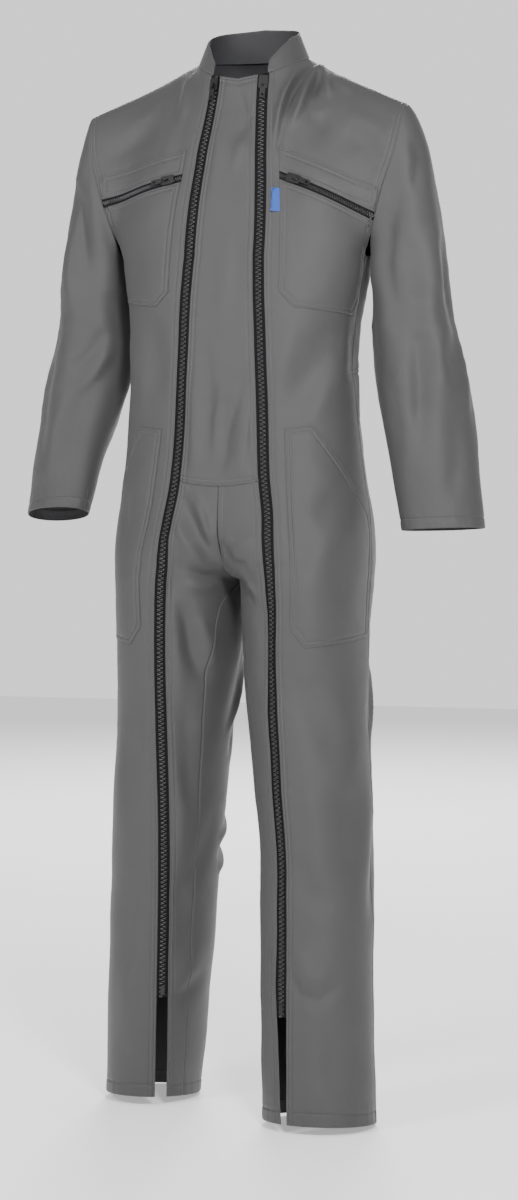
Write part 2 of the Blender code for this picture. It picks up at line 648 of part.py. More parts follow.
def make_skin():
    skin = bmesh.new()
    skin.faces.layers.int.new("piece")
    skin.faces.layers.int.new("strip")
    skin.verts.layers.float.new("chain")
    skin.verts.layers.float_vector.new("out")
    skin.verts.layers.float_vector.new("limb_out")
    for side, _ in SIDES:
        add_body(skin, side)
        add_sleeve(skin, side)
    bmesh.ops.remove_doubles(skin, verts=skin.verts, dist=WELD)
    press_folds(skin)
    bmesh.ops.triangulate(skin, faces=skin.faces, quad_method="SHORT_EDGE")
    store_normals(skin, "out")
    return skin


def store_normals(cloth, name):
    cloth.normal_update()
    layer = cloth.verts.layers.float_vector[name]
    for vert in cloth.verts:
        vert[layer] = vert.normal


# ---- from skin to pieces -------------------------------------------------------------------------
def keep_faces(cloth, wanted):
    """Keep the faces for which wanted(piece, strip, x) is true."""
    piece, strip = cloth.faces.layers.int["piece"], cloth.faces.layers.int["strip"]
    others = [face for face in cloth.faces
              if not wanted(face[piece], face[strip], face.calc_center_median().x)]
    bmesh.ops.delete(cloth, geom=others, context="FACES")


def cut_piece(skin, side, wanted):
    """A copy of the wanted faces of the skin, on one side of the body or, with side 0, on both.

    Walls stand square to the whole skin. Where skin of another limb leans them over, as under the
    arm and at the crotch, they stand square to their own sleeve, leg or body.
    """
    cloth = skin.copy()
    sleeve = PIECES.index("sleeve")
    is_sleeve = wanted(sleeve, 0, side)
    keep_faces(cloth, lambda piece, strip, x: (piece == sleeve) == is_sleeve and side * x >= 0)
    store_normals(cloth, "limb_out")
    keep_faces(cloth, wanted)
    out, limb_out = (cloth.verts.layers.float_vector[name] for name in ("out", "limb_out"))
    for vert in cloth.verts:
        if vert[limb_out].dot(vert[out]) < SHARED_WALL:
            vert[out] = vert[limb_out]
    return cloth


def panel(skin, name, side=0):
    """A sewn panel's outer face."""
    number = PIECES.index(name)
    cloth = cut_piece(skin, side, lambda piece, strip, x: piece == number)
    trim_edges(cloth, HALF_GAP)
    for vert in cloth.verts:
        if side * vert.co.x < HALF_GAP and side:
            vert.co.x = side * HALF_GAP
    return cloth


def trim_edges(cloth, amount):
    """Draw a piece's free edges in along its own surface."""
    moves = {}
    for edge in cloth.edges:
        if not edge.is_boundary:
            continue
        face = edge.link_faces[0]
        inward = face.normal.cross(edge.verts[1].co - edge.verts[0].co).normalized()
        if inward.dot(face.calc_center_median() - edge.verts[0].co) < 0:
            inward.negate()
        for vert in edge.verts:
            moves.setdefault(vert, []).append(inward)
    for vert, directions in moves.items():
        total = sum(directions, Vector())
        total.normalize()
        vert.co += total * (amount / max(0.5, total.dot(directions[0])))


def give_wall(cloth, low, high, chain_rise=0.0):
    """Close a piece of surface into a wall between two distances from it."""
    out = cloth.verts.layers.float_vector["out"]
    chain = cloth.verts.layers.float["chain"]
    made = bmesh.ops.extrude_face_region(cloth, geom=cloth.faces[:], use_keep_orig=True)
    top = {item for item in made["geom"] if isinstance(item, bmesh.types.BMVert)}
    for vert in cloth.verts:
        away = Vector(vert[out]).normalized()
        rise = high + chain_rise * vert[chain] if vert in top else low
        vert.co += away * rise
    bmesh.ops.recalc_face_normals(cloth, faces=cloth.faces)
    return cloth


def cut_normal(side, start, end):
    """The normal of the plane that cuts a patch along the line from start to end."""
    view = Vector((-side * sin(PATCH_VIEW), cos(PATCH_VIEW), 0))
    return (end - start).cross(view).normalized()


def slice_cloth(cloth, place, normal, drop_outer):
    bmesh.ops.bisect_plane(cloth, geom=cloth.verts[:] + cloth.edges[:] + cloth.faces[:],
                           plane_co=place, plane_no=normal, clear_outer=drop_outer)


def cut_outline(cloth, side, corners, inside):
    """Keep what lies within an outline's cutting planes."""
    for start, end in zip(corners, corners[1:]):
        normal = cut_normal(side, start, end)
        if normal.dot(inside - start) > 0:
            normal.negate()
        slice_cloth(cloth, start, normal, True)


def on_side_front(side, corner):
    """The point of a side front at a share across and a height."""
    across, height = corner
    if height <= ARMPIT:
        return lower_front(side, across, height)
    low, high = 0.0, 1.0
    for _ in range(30):
        rise = (low + high) / 2
        if upper_front(side, across, rise).z < height:
            low = rise
        else:
            high = rise
    return upper_front(side, across, (low + high) / 2)


# ---- chest pockets -------------------------------------------------------------------------------
def chest_corner(side, corner):
    """A corner of the chest pocket, which hangs a little lower or higher towards the arm."""
    across, height = corner
    drop = CHEST_DROP[side] * (across - CHEST_ZIP_INNER[0]) / (CHEST_ZIP_OUTER[0] - CHEST_ZIP_INNER[0])
    return on_side_front(side, (across, height + drop))


def chest_zip_edges(side, inset):
    """The chest zip's top and bottom edge lines, moved in by inset."""
    ends = (CHEST_ZIP_INNER, CHEST_ZIP_OUTER)
    top = [chest_corner(side, (across, height - inset)) for across, height in ends]
    low = [chest_corner(side, (across, height - CHEST_ZIP_BAND + inset)) for across, height in ends]
    return top, low


def chest_patches(skin, side):
    """The pocket above the zip, the zip and the pocket below, as pieces of surface."""
    corners = {name: chest_corner(side, corner) for name, corner in CHEST_POCKET.items()}
    corners["low_outer"] = chest_corner(side, CHEST_LOW_OUTER[side])
    outline = [corners[name] for name in ("low_outer", "top_outer", "top_inner", "low_inner")]
    foot = [corners[name] for name in ("low_inner", "chamfer_inner", "chamfer_outer", "low_outer")]
    top_line, low_line = chest_zip_edges(side, 0.0)
    middle = sum(top_line + low_line, Vector()) / 4
    above = chest_corner(side, ABOVE_CHEST_ZIP)
    below = chest_corner(side, BELOW_CHEST_ZIP)
    patches = []
    for edges, inside in (((top_line,), above), ((top_line, low_line), middle), ((low_line, foot), below)):
        cloth = panel(skin, "side_front", side)
        cut_outline(cloth, side, outline, inside)
        for edge in edges:
            cut_outline(cloth, side, edge, inside)
        trim_edges(cloth, HALF_GAP)
        patches.append(cloth)
    return patches


def raise_chest_chain(cloth, side):
    """Mark the chest zip's chain, between its own pair of lines, so that give_wall raises it."""
    edge = CHEST_ZIP_BAND / 2 - CHEST_CHAIN_HALF
    chain = cloth.verts.layers.float["chain"]
    for inset in (edge - CHAIN_FOOT, edge):
        planes = [(start, cut_normal(side, start, end)) for start, end in chest_zip_edges(side, inset)]
        for place, normal in planes:
            slice_cloth(cloth, place, normal, False)
    for vert in cloth.verts:
        from_top, from_low = ((vert.co - place).dot(normal) for place, normal in planes)
        vert[chain] = 1.0 if from_top * from_low < WELD * abs(from_top - from_low) else 0.0


# ---- sliders and other hardware ------------------------------------------------------------------
def box(size, middle):
    made = bmesh.new()
    place = Matrix.Translation(middle) @ Matrix.Diagonal((*size, 1.0))
    bmesh.ops.create_cube(made, size=1.0, matrix=place)
    return made


def chamfer_upright(made, width):
    """Chamfer the edges that run along Z."""
    upright = [edge for edge in made.edges if abs((edge.verts[0].co - edge.verts[1].co).z) > WELD]
    bmesh.ops.bevel(made, geom=upright, offset=width, affect="EDGES", segments=2, profile=0.5, material=-1)


def seat(surface, place, out, along, size, clearance):
    """A frame whose XY plane lies clearance above a surface over a footprint of size (across, along)."""
    tree = BVHTree.FromBMesh(surface)
    across = out.cross(along).normalized()
    back = across.cross(-out).normalized()
    highest = -1.0
    for across_share in (-0.5, 0.0, 0.5):
        for row in range(SEAT_ROWS + 1):
            start = place + across * (size[0] * across_share) + back * (size[1] * (row / SEAT_ROWS - 0.5))
            hit = tree.ray_cast(start + out * SEAT_HEIGHT, -out)[0]
            if hit is not None:
                highest = max(highest, (hit - place).dot(out))
    origin = place + out * (highest + clearance)
    return Matrix.Translation(origin) @ Matrix((across, back, out)).transposed().to_4x4()


# ---- objects -------------------------------------------------------------------------------------
def make_material(name):
    finish = FINISHES[name]
    material = bpy.data.materials.new(name)
    material.use_nodes = True
    shader = material.node_tree.nodes["Principled BSDF"]
    shader.inputs["Base Color"].default_value = finish.colour
    shader.inputs["Roughness"].default_value = finish.roughness
    shader.inputs["Metallic"].default_value = finish.metallic
    return material


def add_object(collection, name, made, material, place=None):
    mesh = bpy.data.meshes.new(name)
    made.to_mesh(mesh)
    made.free()
    mesh.shade_smooth()
    mesh.set_sharp_from_angle(angle=radians(40))
    mesh.materials.append(material)
    item = bpy.data.objects.new(name, mesh)
    if place is not None:
        item.matrix_world = place
    collection.objects.link(item)
    return item


def combine(item, tools, other, operation):
    """Join another shape to an object, or cut it out, with a Boolean modifier."""
    tools.objects.link(other)
    other.hide_render = True
    other.display_type = "WIRE"
    change = item.modifiers.new(operation.lower(), "BOOLEAN")
    change.operation = operation
    change.object = other
    change.solver = "EXACT"


def add_tool(tools, name, item, made, operation):
    mesh = bpy.data.meshes.new(name)
    made.to_mesh(mesh)
    made.free()
    other = bpy.data.objects.new(name, mesh)
    other.matrix_world = item.matrix_world
    combine(item, tools, other, operation)


def make_slider(collection, tools, name, place, material):
    """Plate, side rails and the arch of a slider, with local +Y up the zip. Returns its pull's hinge."""
    plate = box((PLATE_WIDTH, PLATE_LENGTH, PLATE_WALL), (0, 0, PLATE_WALL / 2))
    chamfer_upright(plate, PLATE_CORNER)
    slider = add_object(collection, name, plate, material, place)
    axis = AXIS_TO_PLATE_END - PLATE_LENGTH / 2
    post_low = axis - AXIS_FROM_POST - POST / 2
    post_high = axis - AXIS_FROM_POST + WINDOW_LENGTH + POST / 2
    tall = WINDOW_HEIGHT + ARCH_BAR
    for number, middle in enumerate((post_low, post_high)):
        post = box((ARCH_WIDTH, POST, tall + OVERLAP), (0, middle, PLATE_WALL + (tall - OVERLAP) / 2))
        add_tool(tools, f"{name}_post_{number}", slider, post, "UNION")
    bar = box((ARCH_WIDTH * INSET, post_high - post_low, ARCH_BAR * INSET),
              (0, (post_low + post_high) / 2, PLATE_WALL + WINDOW_HEIGHT + ARCH_BAR / 2))
    add_tool(tools, f"{name}_bar", slider, bar, "UNION")
    for hand in (-1, 1):
        rail = box((RAIL_WIDTH, RAIL_LENGTH, RAIL_DEPTH + OVERLAP),
                   (hand * (PLATE_WIDTH - RAIL_WIDTH) / 2 * INSET, 0, (OVERLAP - RAIL_DEPTH) / 2))
        add_tool(tools, f"{name}_rail_{hand}", slider, rail, "UNION")
    return place @ Matrix.Translation((0, axis, PLATE_WALL + WINDOW_HEIGHT / 2))


def make_pull(collection, tools, name, hinge, material):
    """The pull tab, with its origin on the hinge axis, which is its local X. It hangs along -Y."""
    half = PULL_WALL / 2
    root_length = PULL_OPENING + PULL_NECK
    root = box((PULL_ROOT_WIDTH, root_length, PULL_WALL), (0, half - root_length / 2, 0))
    pull = add_object(collection, name, root, material, hinge)
    plate_length = PULL_LENGTH - PULL_OPENING
    plate = box((PULL_WIDTH, plate_length, PULL_WALL * INSET), (0, -PULL_OPENING - plate_length / 2, 0))
    chamfer_upright(plate, PULL_CORNER)
    add_tool(tools, f"{name}_plate", pull, plate, "UNION")
    opening = box((PULL_OPENING_WIDTH, PULL_OPENING - half, 3 * PULL_WALL),
                  (0, -(PULL_OPENING + half) / 2, 0))
    add_tool(tools, f"{name}_opening", pull, opening, "DIFFERENCE")
    eye_middle = -PULL_LENGTH + PULL_EYE_MARGIN + PULL_EYE_LENGTH / 2
    eye = box((PULL_EYE_WIDTH, PULL_EYE_LENGTH, 3 * PULL_WALL), (0, eye_middle, 0))
    add_tool(tools, f"{name}_eye", pull, eye, "DIFFERENCE")


def front_slider_seat(side, zip_body):
    """Where the long zip's slider sits, just below the neckline."""
    step = 0.001
    length = (upper_front(side, 0, 1.0) - upper_front(side, 0, 1.0 - step)).length / step
    rise = 1.0 - SLIDER_BELOW_NECK / length
    place = upper_front(side, 0, rise)
    along = (upper_front(side, 0, rise - 0.02) - upper_front(side, 0, rise + 0.02)).normalized()
    across = upper_front(side, step, rise) - upper_front(side, -step, rise)
    out = (across.cross(along) * -side).normalized()
    return seat(zip_body, place, out, along, (CHAIN_HALF * 2, PLATE_LENGTH), GAP)


def chest_slider_seat(side, zip_body):
    """Where the chest zip's slider sits, near its inner end."""
    def on_chain(share):
        across, height = (inner + (outer - inner) * share
                          for inner, outer in zip(CHEST_ZIP_INNER, CHEST_ZIP_OUTER))
        return chest_corner(side, (across, height - CHEST_ZIP_BAND / 2))

    place = on_chain(CHEST_SLIDER_SHARE)
    along = (on_chain(CHEST_SLIDER_SHARE + CHEST_SLIDER_STEP) - place).normalized()
    (top_inner, _), (low_inner, _) = chest_zip_edges(side, 0.0)
    out = ((top_inner - low_inner).cross(along) * -side).normalized()
    return seat(zip_body, place, out, along, (CHEST_CHAIN_HALF * 2, PLATE_LENGTH), GAP)


def end_block_seat(side, zip_body):
    """Where the moulded stop sits at the foot of a long zip."""
    half = END_BLOCK.y / 2
    top, low = (lower_front(side, 0, SLIT_TOP + place) for place in (2 * half, 0.0))
    across = lower_front(side, 0.05, SLIT_TOP + half) - lower_front(side, -0.05, SLIT_TOP + half)
    out = (across.cross(low - top) * -side).normalized()
    return seat(zip_body, (top + low) / 2, out, (low - top).normalized(), END_BLOCK.xy, GAP)


def make_collar():
    collar = bmesh.new()
    collar.verts.layers.float.new("chain")
    out = collar.verts.layers.float_vector.new("out")
    angles = [radians(turn) for turn in COLLAR_COLUMNS]
    angles += [2 * pi - angle for angle in angles[-2::-1]]
    columns, lines = len(angles) - 1, 2
    made = bmesh.ops.create_grid(collar, x_segments=columns, y_segments=lines, size=0.5)
    foot = [vert for vert in made["verts"] if vert.co.y < -0.25]
    for vert in made["verts"]:
        angle = angles[round((vert.co.x + 0.5) * columns)]
        level = round((vert.co.y + 0.5) * lines) / lines
        half_turn = min(angle, 2 * pi - angle)
        stand = smooth(COLLAR_STAND, "height", half_turn * 180 / pi)
        point = collar_point(half_turn, GAP + (stand - GAP) * level)
        vert.co = point if angle <= pi else mirrored(-1, point)
    store_normals(collar, "out")
    for vert in foot:
        vert[out] = Vector((vert[out].x, vert[out].y, 0))
    return give_wall(collar, -COLLAR_WALL, 0.0)


def make_label(skin):
    """The blank folded label beside the left chest pocket."""
    label = panel(skin, "side_front", LEFT)
    top, low = chest_corner(LEFT, LABEL_TOP), chest_corner(LEFT, LABEL_LOW)
    shift = Vector((-LABEL_WIDTH, 0, 0))
    corners = [top, low, low + shift, top + shift, top]
    cut_outline(label, LEFT, corners, (top + low + shift) / 2)
    trim_edges(label, 2 * GAP)
    return give_wall(label, GAP, GAP + LABEL_WALL)


def clear_scene():
    for item in list(bpy.data.objects):
        bpy.data.objects.remove(item)


def main():
    clear_scene()
    suit = bpy.data.collections.new("boiler_suit")
    tools = bpy.data.collections.new("cutters")
    bpy.context.scene.collection.children.link(suit)
    bpy.context.scene.collection.children.link(tools)
    finishes = {name: make_material(name) for name in FINISHES}
    skin = make_skin()

    for name in ("bib", "back_body"):
        add_object(suit, name, give_wall(panel(skin, name), -WALL, 0.0), finishes["twill"])
    add_object(suit, "collar", make_collar(), finishes["twill"])
    for side, hand in SIDES:
        for name in ("side_front", "inner_leg", "back_leg", "sleeve"):
            cloth = give_wall(panel(skin, name, side), -WALL, 0.0)
            add_object(suit, f"{name}_{hand}", cloth, finishes["twill"])

        tape = cut_piece(skin, side, lambda piece, strip, x: strip)
        give_wall(tape, -WALL - GAP - TAPE_WALL, -WALL - GAP, CHAIN_RISE)
        block_seat = end_block_seat(side, tape)
        slider_seat = front_slider_seat(side, tape)
        add_object(suit, f"front_zip_{hand}", tape, finishes["zip_tape"])
        block = box(END_BLOCK, (0, 0, END_BLOCK.z / 2))
        chamfer_upright(block, END_BLOCK_CORNER)
        add_object(suit, f"zip_end_{hand}", block, finishes["zip_stop"], block_seat)
        hinge = make_slider(suit, tools, f"slider_front_{hand}", slider_seat, finishes["painted_zinc"])
        make_pull(suit, tools, f"pull_front_{hand}", hinge, finishes["painted_zinc"])

        above, chest_zip, below = chest_patches(skin, side)
        raise_chest_chain(chest_zip, side)
        give_wall(above, GAP, GAP + WALL)
        give_wall(below, GAP, GAP + WALL)
        give_wall(chest_zip, GAP, GAP + TAPE_WALL, CHAIN_RISE)
        slider_seat = chest_slider_seat(side, chest_zip)
        add_object(suit, f"chest_pocket_top_{hand}", above, finishes["twill"])
        add_object(suit, f"chest_pocket_bottom_{hand}", below, finishes["twill"])
        add_object(suit, f"chest_zip_{hand}", chest_zip, finishes["zip_tape"])
        hinge = make_slider(suit, tools, f"slider_chest_{hand}", slider_seat, finishes["painted_zinc"])
        make_pull(suit, tools, f"pull_chest_{hand}", hinge, finishes["painted_zinc"])

        hip = panel(skin, "side_front", side)
        outline = [on_side_front(side, HIP_POCKET[name]) for name in (
            "side_low", "chamfer_low", "chamfer_inner", "top_inner", "slant_top", "slant_low")]
        cut_outline(hip, side, outline, on_side_front(side, HIP_MIDDLE))
        trim_edges(hip, GAP)
        add_object(suit, f"hip_pocket_{hand}", give_wall(hip, GAP, GAP + WALL), finishes["twill"])
    add_object(suit, "label_tab", make_label(skin), finishes["label_weave"])
    skin.free()


if __name__ == "__main__":
    main()
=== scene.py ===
"""A worn boiler suit with two full-length front zips: cloth, sewing, zips and hardware.

Every panel is a thin sheet of twill, laid out from its edges as a cutter measures it, then folded,
stitched and puckered. Metres, +Z up, but the tables of folds and creases are in millimetres. The
wearer faces -Y and their left is +X.
"""
from collections import namedtuple
from functools import partial
from math import asin, cos, pi, radians, sin

import bmesh
import bpy
import numpy as np
from bpy.props import FloatProperty, FloatVectorProperty, PointerProperty
from mathutils import Matrix, Vector, noise
from mathutils.bvhtree import BVHTree


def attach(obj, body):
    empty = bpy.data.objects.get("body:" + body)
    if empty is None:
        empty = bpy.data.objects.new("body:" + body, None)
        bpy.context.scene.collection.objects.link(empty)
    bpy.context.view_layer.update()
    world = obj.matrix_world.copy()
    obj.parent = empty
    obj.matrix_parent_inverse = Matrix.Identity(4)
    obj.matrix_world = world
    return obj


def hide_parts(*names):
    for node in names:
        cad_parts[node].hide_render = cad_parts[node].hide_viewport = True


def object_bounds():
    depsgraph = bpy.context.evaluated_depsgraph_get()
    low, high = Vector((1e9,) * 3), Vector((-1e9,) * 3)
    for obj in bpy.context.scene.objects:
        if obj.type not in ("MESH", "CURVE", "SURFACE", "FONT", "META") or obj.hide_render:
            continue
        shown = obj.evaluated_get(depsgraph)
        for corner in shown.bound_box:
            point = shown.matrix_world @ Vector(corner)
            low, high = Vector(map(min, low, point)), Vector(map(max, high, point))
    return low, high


bl_info = {
    "name": "Double-Zip Boiler Suit",
    "version": (1, 0, 0),
    "blender": (4, 5, 0),
    "location": "3D View > Sidebar > Boiler Suit",
    "description": "Makes the cloth, sewing, zips and stage of a worn boiler suit",
    "category": "Mesh",
}

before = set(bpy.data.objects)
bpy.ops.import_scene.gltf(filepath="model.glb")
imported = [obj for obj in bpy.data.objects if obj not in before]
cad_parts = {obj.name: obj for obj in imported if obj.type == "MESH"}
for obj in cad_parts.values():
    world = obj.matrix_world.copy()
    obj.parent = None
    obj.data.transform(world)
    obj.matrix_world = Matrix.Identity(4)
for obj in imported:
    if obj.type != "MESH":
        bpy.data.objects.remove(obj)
SOLID_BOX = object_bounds()

LEFT, RIGHT = 1, -1
SIDES = ((LEFT, "left"), (RIGHT, "right"))
QUARTER = pi / 2
GARMENT = "garment"

# ---- heights ----
ARMPIT = -0.262
BACK_WAIST = -0.425
WAIST = -0.572
WAIST_BOW, WAIST_BOW_REACH = 0.009, 0.035
CROTCH = -0.712
SLIT_TOP = -1.295
HEM = -1.444
HEM_SLANT_START, HEM_SLANT = -1.200, 0.006
UPPER_LENGTH = 0.245         # cloth from the armpit section to the neck and shoulder, on average

# ---- body and legs: height, centre x, half width, front depth, back depth, centre y ----
TORSO = (
    (-0.200, 0.000, 0.1850, 0.098, 0.128, -0.026),
    (ARMPIT, 0.000, 0.1790, 0.103, 0.126, -0.031),
    (-0.320, 0.000, 0.1710, 0.102, 0.119, -0.040),
    (-0.370, 0.000, 0.1640, 0.095, 0.114, -0.049),
    (-0.415, 0.000, 0.1615, 0.089, 0.112, -0.056),
    (-0.460, 0.000, 0.1635, 0.091, 0.108, -0.054),
    (-0.520, 0.000, 0.1690, 0.099, 0.118, -0.050),
    (-0.573, 0.006, 0.1685, 0.109, 0.130, -0.046),
    (-0.610, 0.0160, 0.1620, 0.120, 0.133, -0.039),
    (-0.640, 0.0320, 0.1478, 0.125, 0.131, -0.037),
    (-0.660, 0.0530, 0.1270, 0.127, 0.128, -0.036),
    (-0.680, 0.0690, 0.1108, 0.128, 0.124, -0.036),
    (-0.692, 0.0775, 0.1020, 0.127, 0.121, -0.036),
    (-0.703, 0.0845, 0.0943, 0.1265, 0.119, -0.037),
    (CROTCH, 0.089, 0.0890, 0.126, 0.117, -0.038),
)
LEG = {
    LEFT: (
        (-0.790, 0.0930, 0.0865, 0.115, 0.108, -0.048),
        (-0.860, 0.0970, 0.0855, 0.104, 0.100, -0.056),
        (-0.960, 0.1080, 0.0825, 0.094, 0.092, -0.072),
        (-1.080, 0.1210, 0.0790, 0.086, 0.086, -0.088),
        (-1.290, 0.1305, 0.0775, 0.080, 0.080, -0.116),
        (HEM, 0.1400, 0.0785, 0.075, 0.075, -0.136),
    ),
    RIGHT: (
        (-0.790, 0.0925, 0.0865, 0.115, 0.108, -0.041),
        (-0.860, 0.0960, 0.0835, 0.104, 0.100, -0.044),
        (-0.960, 0.1070, 0.0800, 0.094, 0.092, -0.042),
        (-1.080, 0.1175, 0.0775, 0.086, 0.086, -0.039),
        (-1.290, 0.1330, 0.0715, 0.082, 0.082, -0.030),
        (HEM, 0.1450, 0.0655, 0.080, 0.080, -0.022),
    ),
}
SQUARENESS = (
    (-0.200, 0.06), (-0.258, 0.06), (-0.450, 0.04), (-0.600, 0.05), (-0.650, 0.07), (CROTCH, 0.065),
    (-0.790, 0.045), (-0.960, 0.0), (HEM, 0.0),
)
INSEAM = (
    (CROTCH, 90.0), (-0.722, 74.0), (-0.732, 67.0), (-0.752, 59.0), (-0.794, 54.0), (-0.850, 49.0),
    (-0.950, 52.0), (-1.080, 55.5), (-1.240, 57.0), (-1.320, 58.0), (HEM, 63.0),
)
SIDE_SEAM = ((ARMPIT, 90.0), (-0.36, 95.0), (HEM, 96.0))
STEP, HALVINGS = 0.004, 30   # for finding a slope, and a place by halving

# ---- long zips: height, distance of the chain from the middle ----
ZIP_TRACK = {
    LEFT: (
        (-0.185, 0.0460), (-0.320, 0.0530), (-0.490, 0.0600), (-0.567, 0.0645), (-0.628, 0.0725),
        (-0.740, 0.0780), (-0.820, 0.0770), (-0.872, 0.0785), (-0.980, 0.0865), (-1.080, 0.0955),
        (-1.270, 0.1030), (HEM, 0.1115),
    ),
    RIGHT: (
        (-0.185, 0.0460), (-0.320, 0.0540), (-0.490, 0.0605), (-0.567, 0.0645), (-0.628, 0.0735),
        (-0.740, 0.0830), (-0.820, 0.0870), (-1.090, 0.0925), (-1.290, 0.1010), (HEM, 0.1090),
    ),
}
ZIP_REACH_AT_NECK = 0.036
BAND_HALF = 0.0080
SLIT_HALF_AT_HEM = {LEFT: 0.0047, RIGHT: 0.0085}

# ---- neck, shoulders, armholes ----
NECK_HALF_WIDTH, NECK_FRONT, NECK_BACK = 0.080, 0.0735, 0.064
NECK_RISE = (
    (0, -0.011), (30, -0.004), (60, 0.0105), (90, 0.0215), (120, 0.0275), (150, 0.030), (180, 0.031),
)
COLLAR_STAND = (
    (31, 0.004), (33, 0.015), (40, 0.021), (48, 0.0265), (57, 0.030), (70, 0.034), (90, 0.0345),
    (120, 0.037), (180, 0.041),
)
COLLAR_LEAN = 0.40
COLLAR_START = 31
SHOULDER_ON_NECK = radians(96)
SHOULDER_TIP = np.array((0.234, -0.030, -0.052))
SHOULDER_SAG = 0.003
NECK_SHARE = 0.36
ARMHOLE_LEAN = (
    (-0.052, 0.2340), (-0.116, 0.2245), (-0.150, 0.2135), (-0.195, 0.2005), (ARMPIT, 0.1790),
)
UNDERARM_Y, ARMHOLE_FRONT, ARMHOLE_BACK = -0.031, 0.038, 0.056
FRONT_FOOT_PULL, TOP_LEAN, ROUNDING = 0.9, 0.45, 0.28
LEAN_AT_ZIP, LEAN_AT_SHOULDER = np.array((0, 0.30, 1.0)), np.array((0, 1.0, 0.45))
PULL_AT_ZIP, PULL_AT_SHOULDER = 0.9, 0.55
BACK_LEAN, PULL_AT_BACK = np.array((0, -1.0, 0.55)), 0.5

# ---- sleeves: height, centre x, centre y, half width, half depth, turn ----
SLEEVE_START = -0.300
SLEEVE = {
    LEFT: (
        (SLEEVE_START, 0.2350, -0.022, 0.0565, 0.0600, 10.0),
        (-0.370, 0.2405, -0.021, 0.0600, 0.0560, 14.0),
        (-0.460, 0.2555, -0.022, 0.0625, 0.0500, 17.0),
        (-0.545, 0.2715, -0.027, 0.0605, 0.0420, 18.0),
        (-0.641, 0.2860, -0.032, 0.0580, 0.0340, 18.0),
    ),
    RIGHT: (
        (SLEEVE_START, 0.2310, -0.022, 0.0525, 0.0600, 10.0),
        (-0.370, 0.2360, -0.021, 0.0580, 0.0560, 14.0),
        (-0.460, 0.2540, -0.022, 0.0610, 0.0500, 18.0),
        (-0.545, 0.2750, -0.027, 0.0570, 0.0420, 24.0),
        (-0.622, 0.2890, -0.032, 0.0540, 0.0340, 26.0),
    ),
}
SLEEVE_TILT_START = -0.450
CUFF_TILT = {LEFT: 0.06, RIGHT: 0.27}
CUFF_ROLL = {LEFT: 0.05, RIGHT: 0.0}
CAP_PULL = {LEFT: 0.48, RIGHT: 0.18}
UNDERARM_PULL, CAP_SPREAD, CAP_LIFT = 0.9, 0.95, 0.25
CAP_LENGTH = 0.200

# ---- folds, as lines seen from outside, with depths that stand out where positive ----
MM = 0.001
# Broad folds that the solids carry too, in mm: start x and z, end x and z, width, depth.
FRONT, BACK = -1, 1
BROAD_FOLDS = {
    FRONT: (
        (-3, -28, 13, -85, 24, -5), (-30, -440, -26, -545, 20, 3.5), (30, -460, 26, -550, 20, 4),
        (0, -470, 0, -555, 14, -3), (80, -10, 56, -120, 20, 4), (100, -20, 120, -90, 20, -3),
        (-85, -10, -62, -110, 20, 2.5), (-249, -180, -236, -370, 22, -5),
        (-270, -400, -296, -560, 20, 3.5), (279, -240, 290, -450, 20, 4),
        (250, -260, 262, -470, 18, -4), (14, -690, 62, -650, 16, 3.5), (-14, -690, -62, -655, 16, 3.5),
        (-70, -770, -60, -900, 24, -4), (60, -760, 64, -860, 22, -3),
    ),
    BACK: (
        (-100, -385, 100, -385, 26, 5), (-80, -250, -130, -130, 30, -4),
        (85, -260, 135, -140, 30, -4.5), (250, -370, 280, -420, 24, -4.5),
        (-250, -380, -285, -430, 24, -4.5), (70, -730, 160, -760, 24, -4),
        (-70, -735, -160, -760, 24, -4), (90, -1000, 160, -1020, 26, -4),
        (-90, -990, -160, -1020, 26, -4),
    ),
}
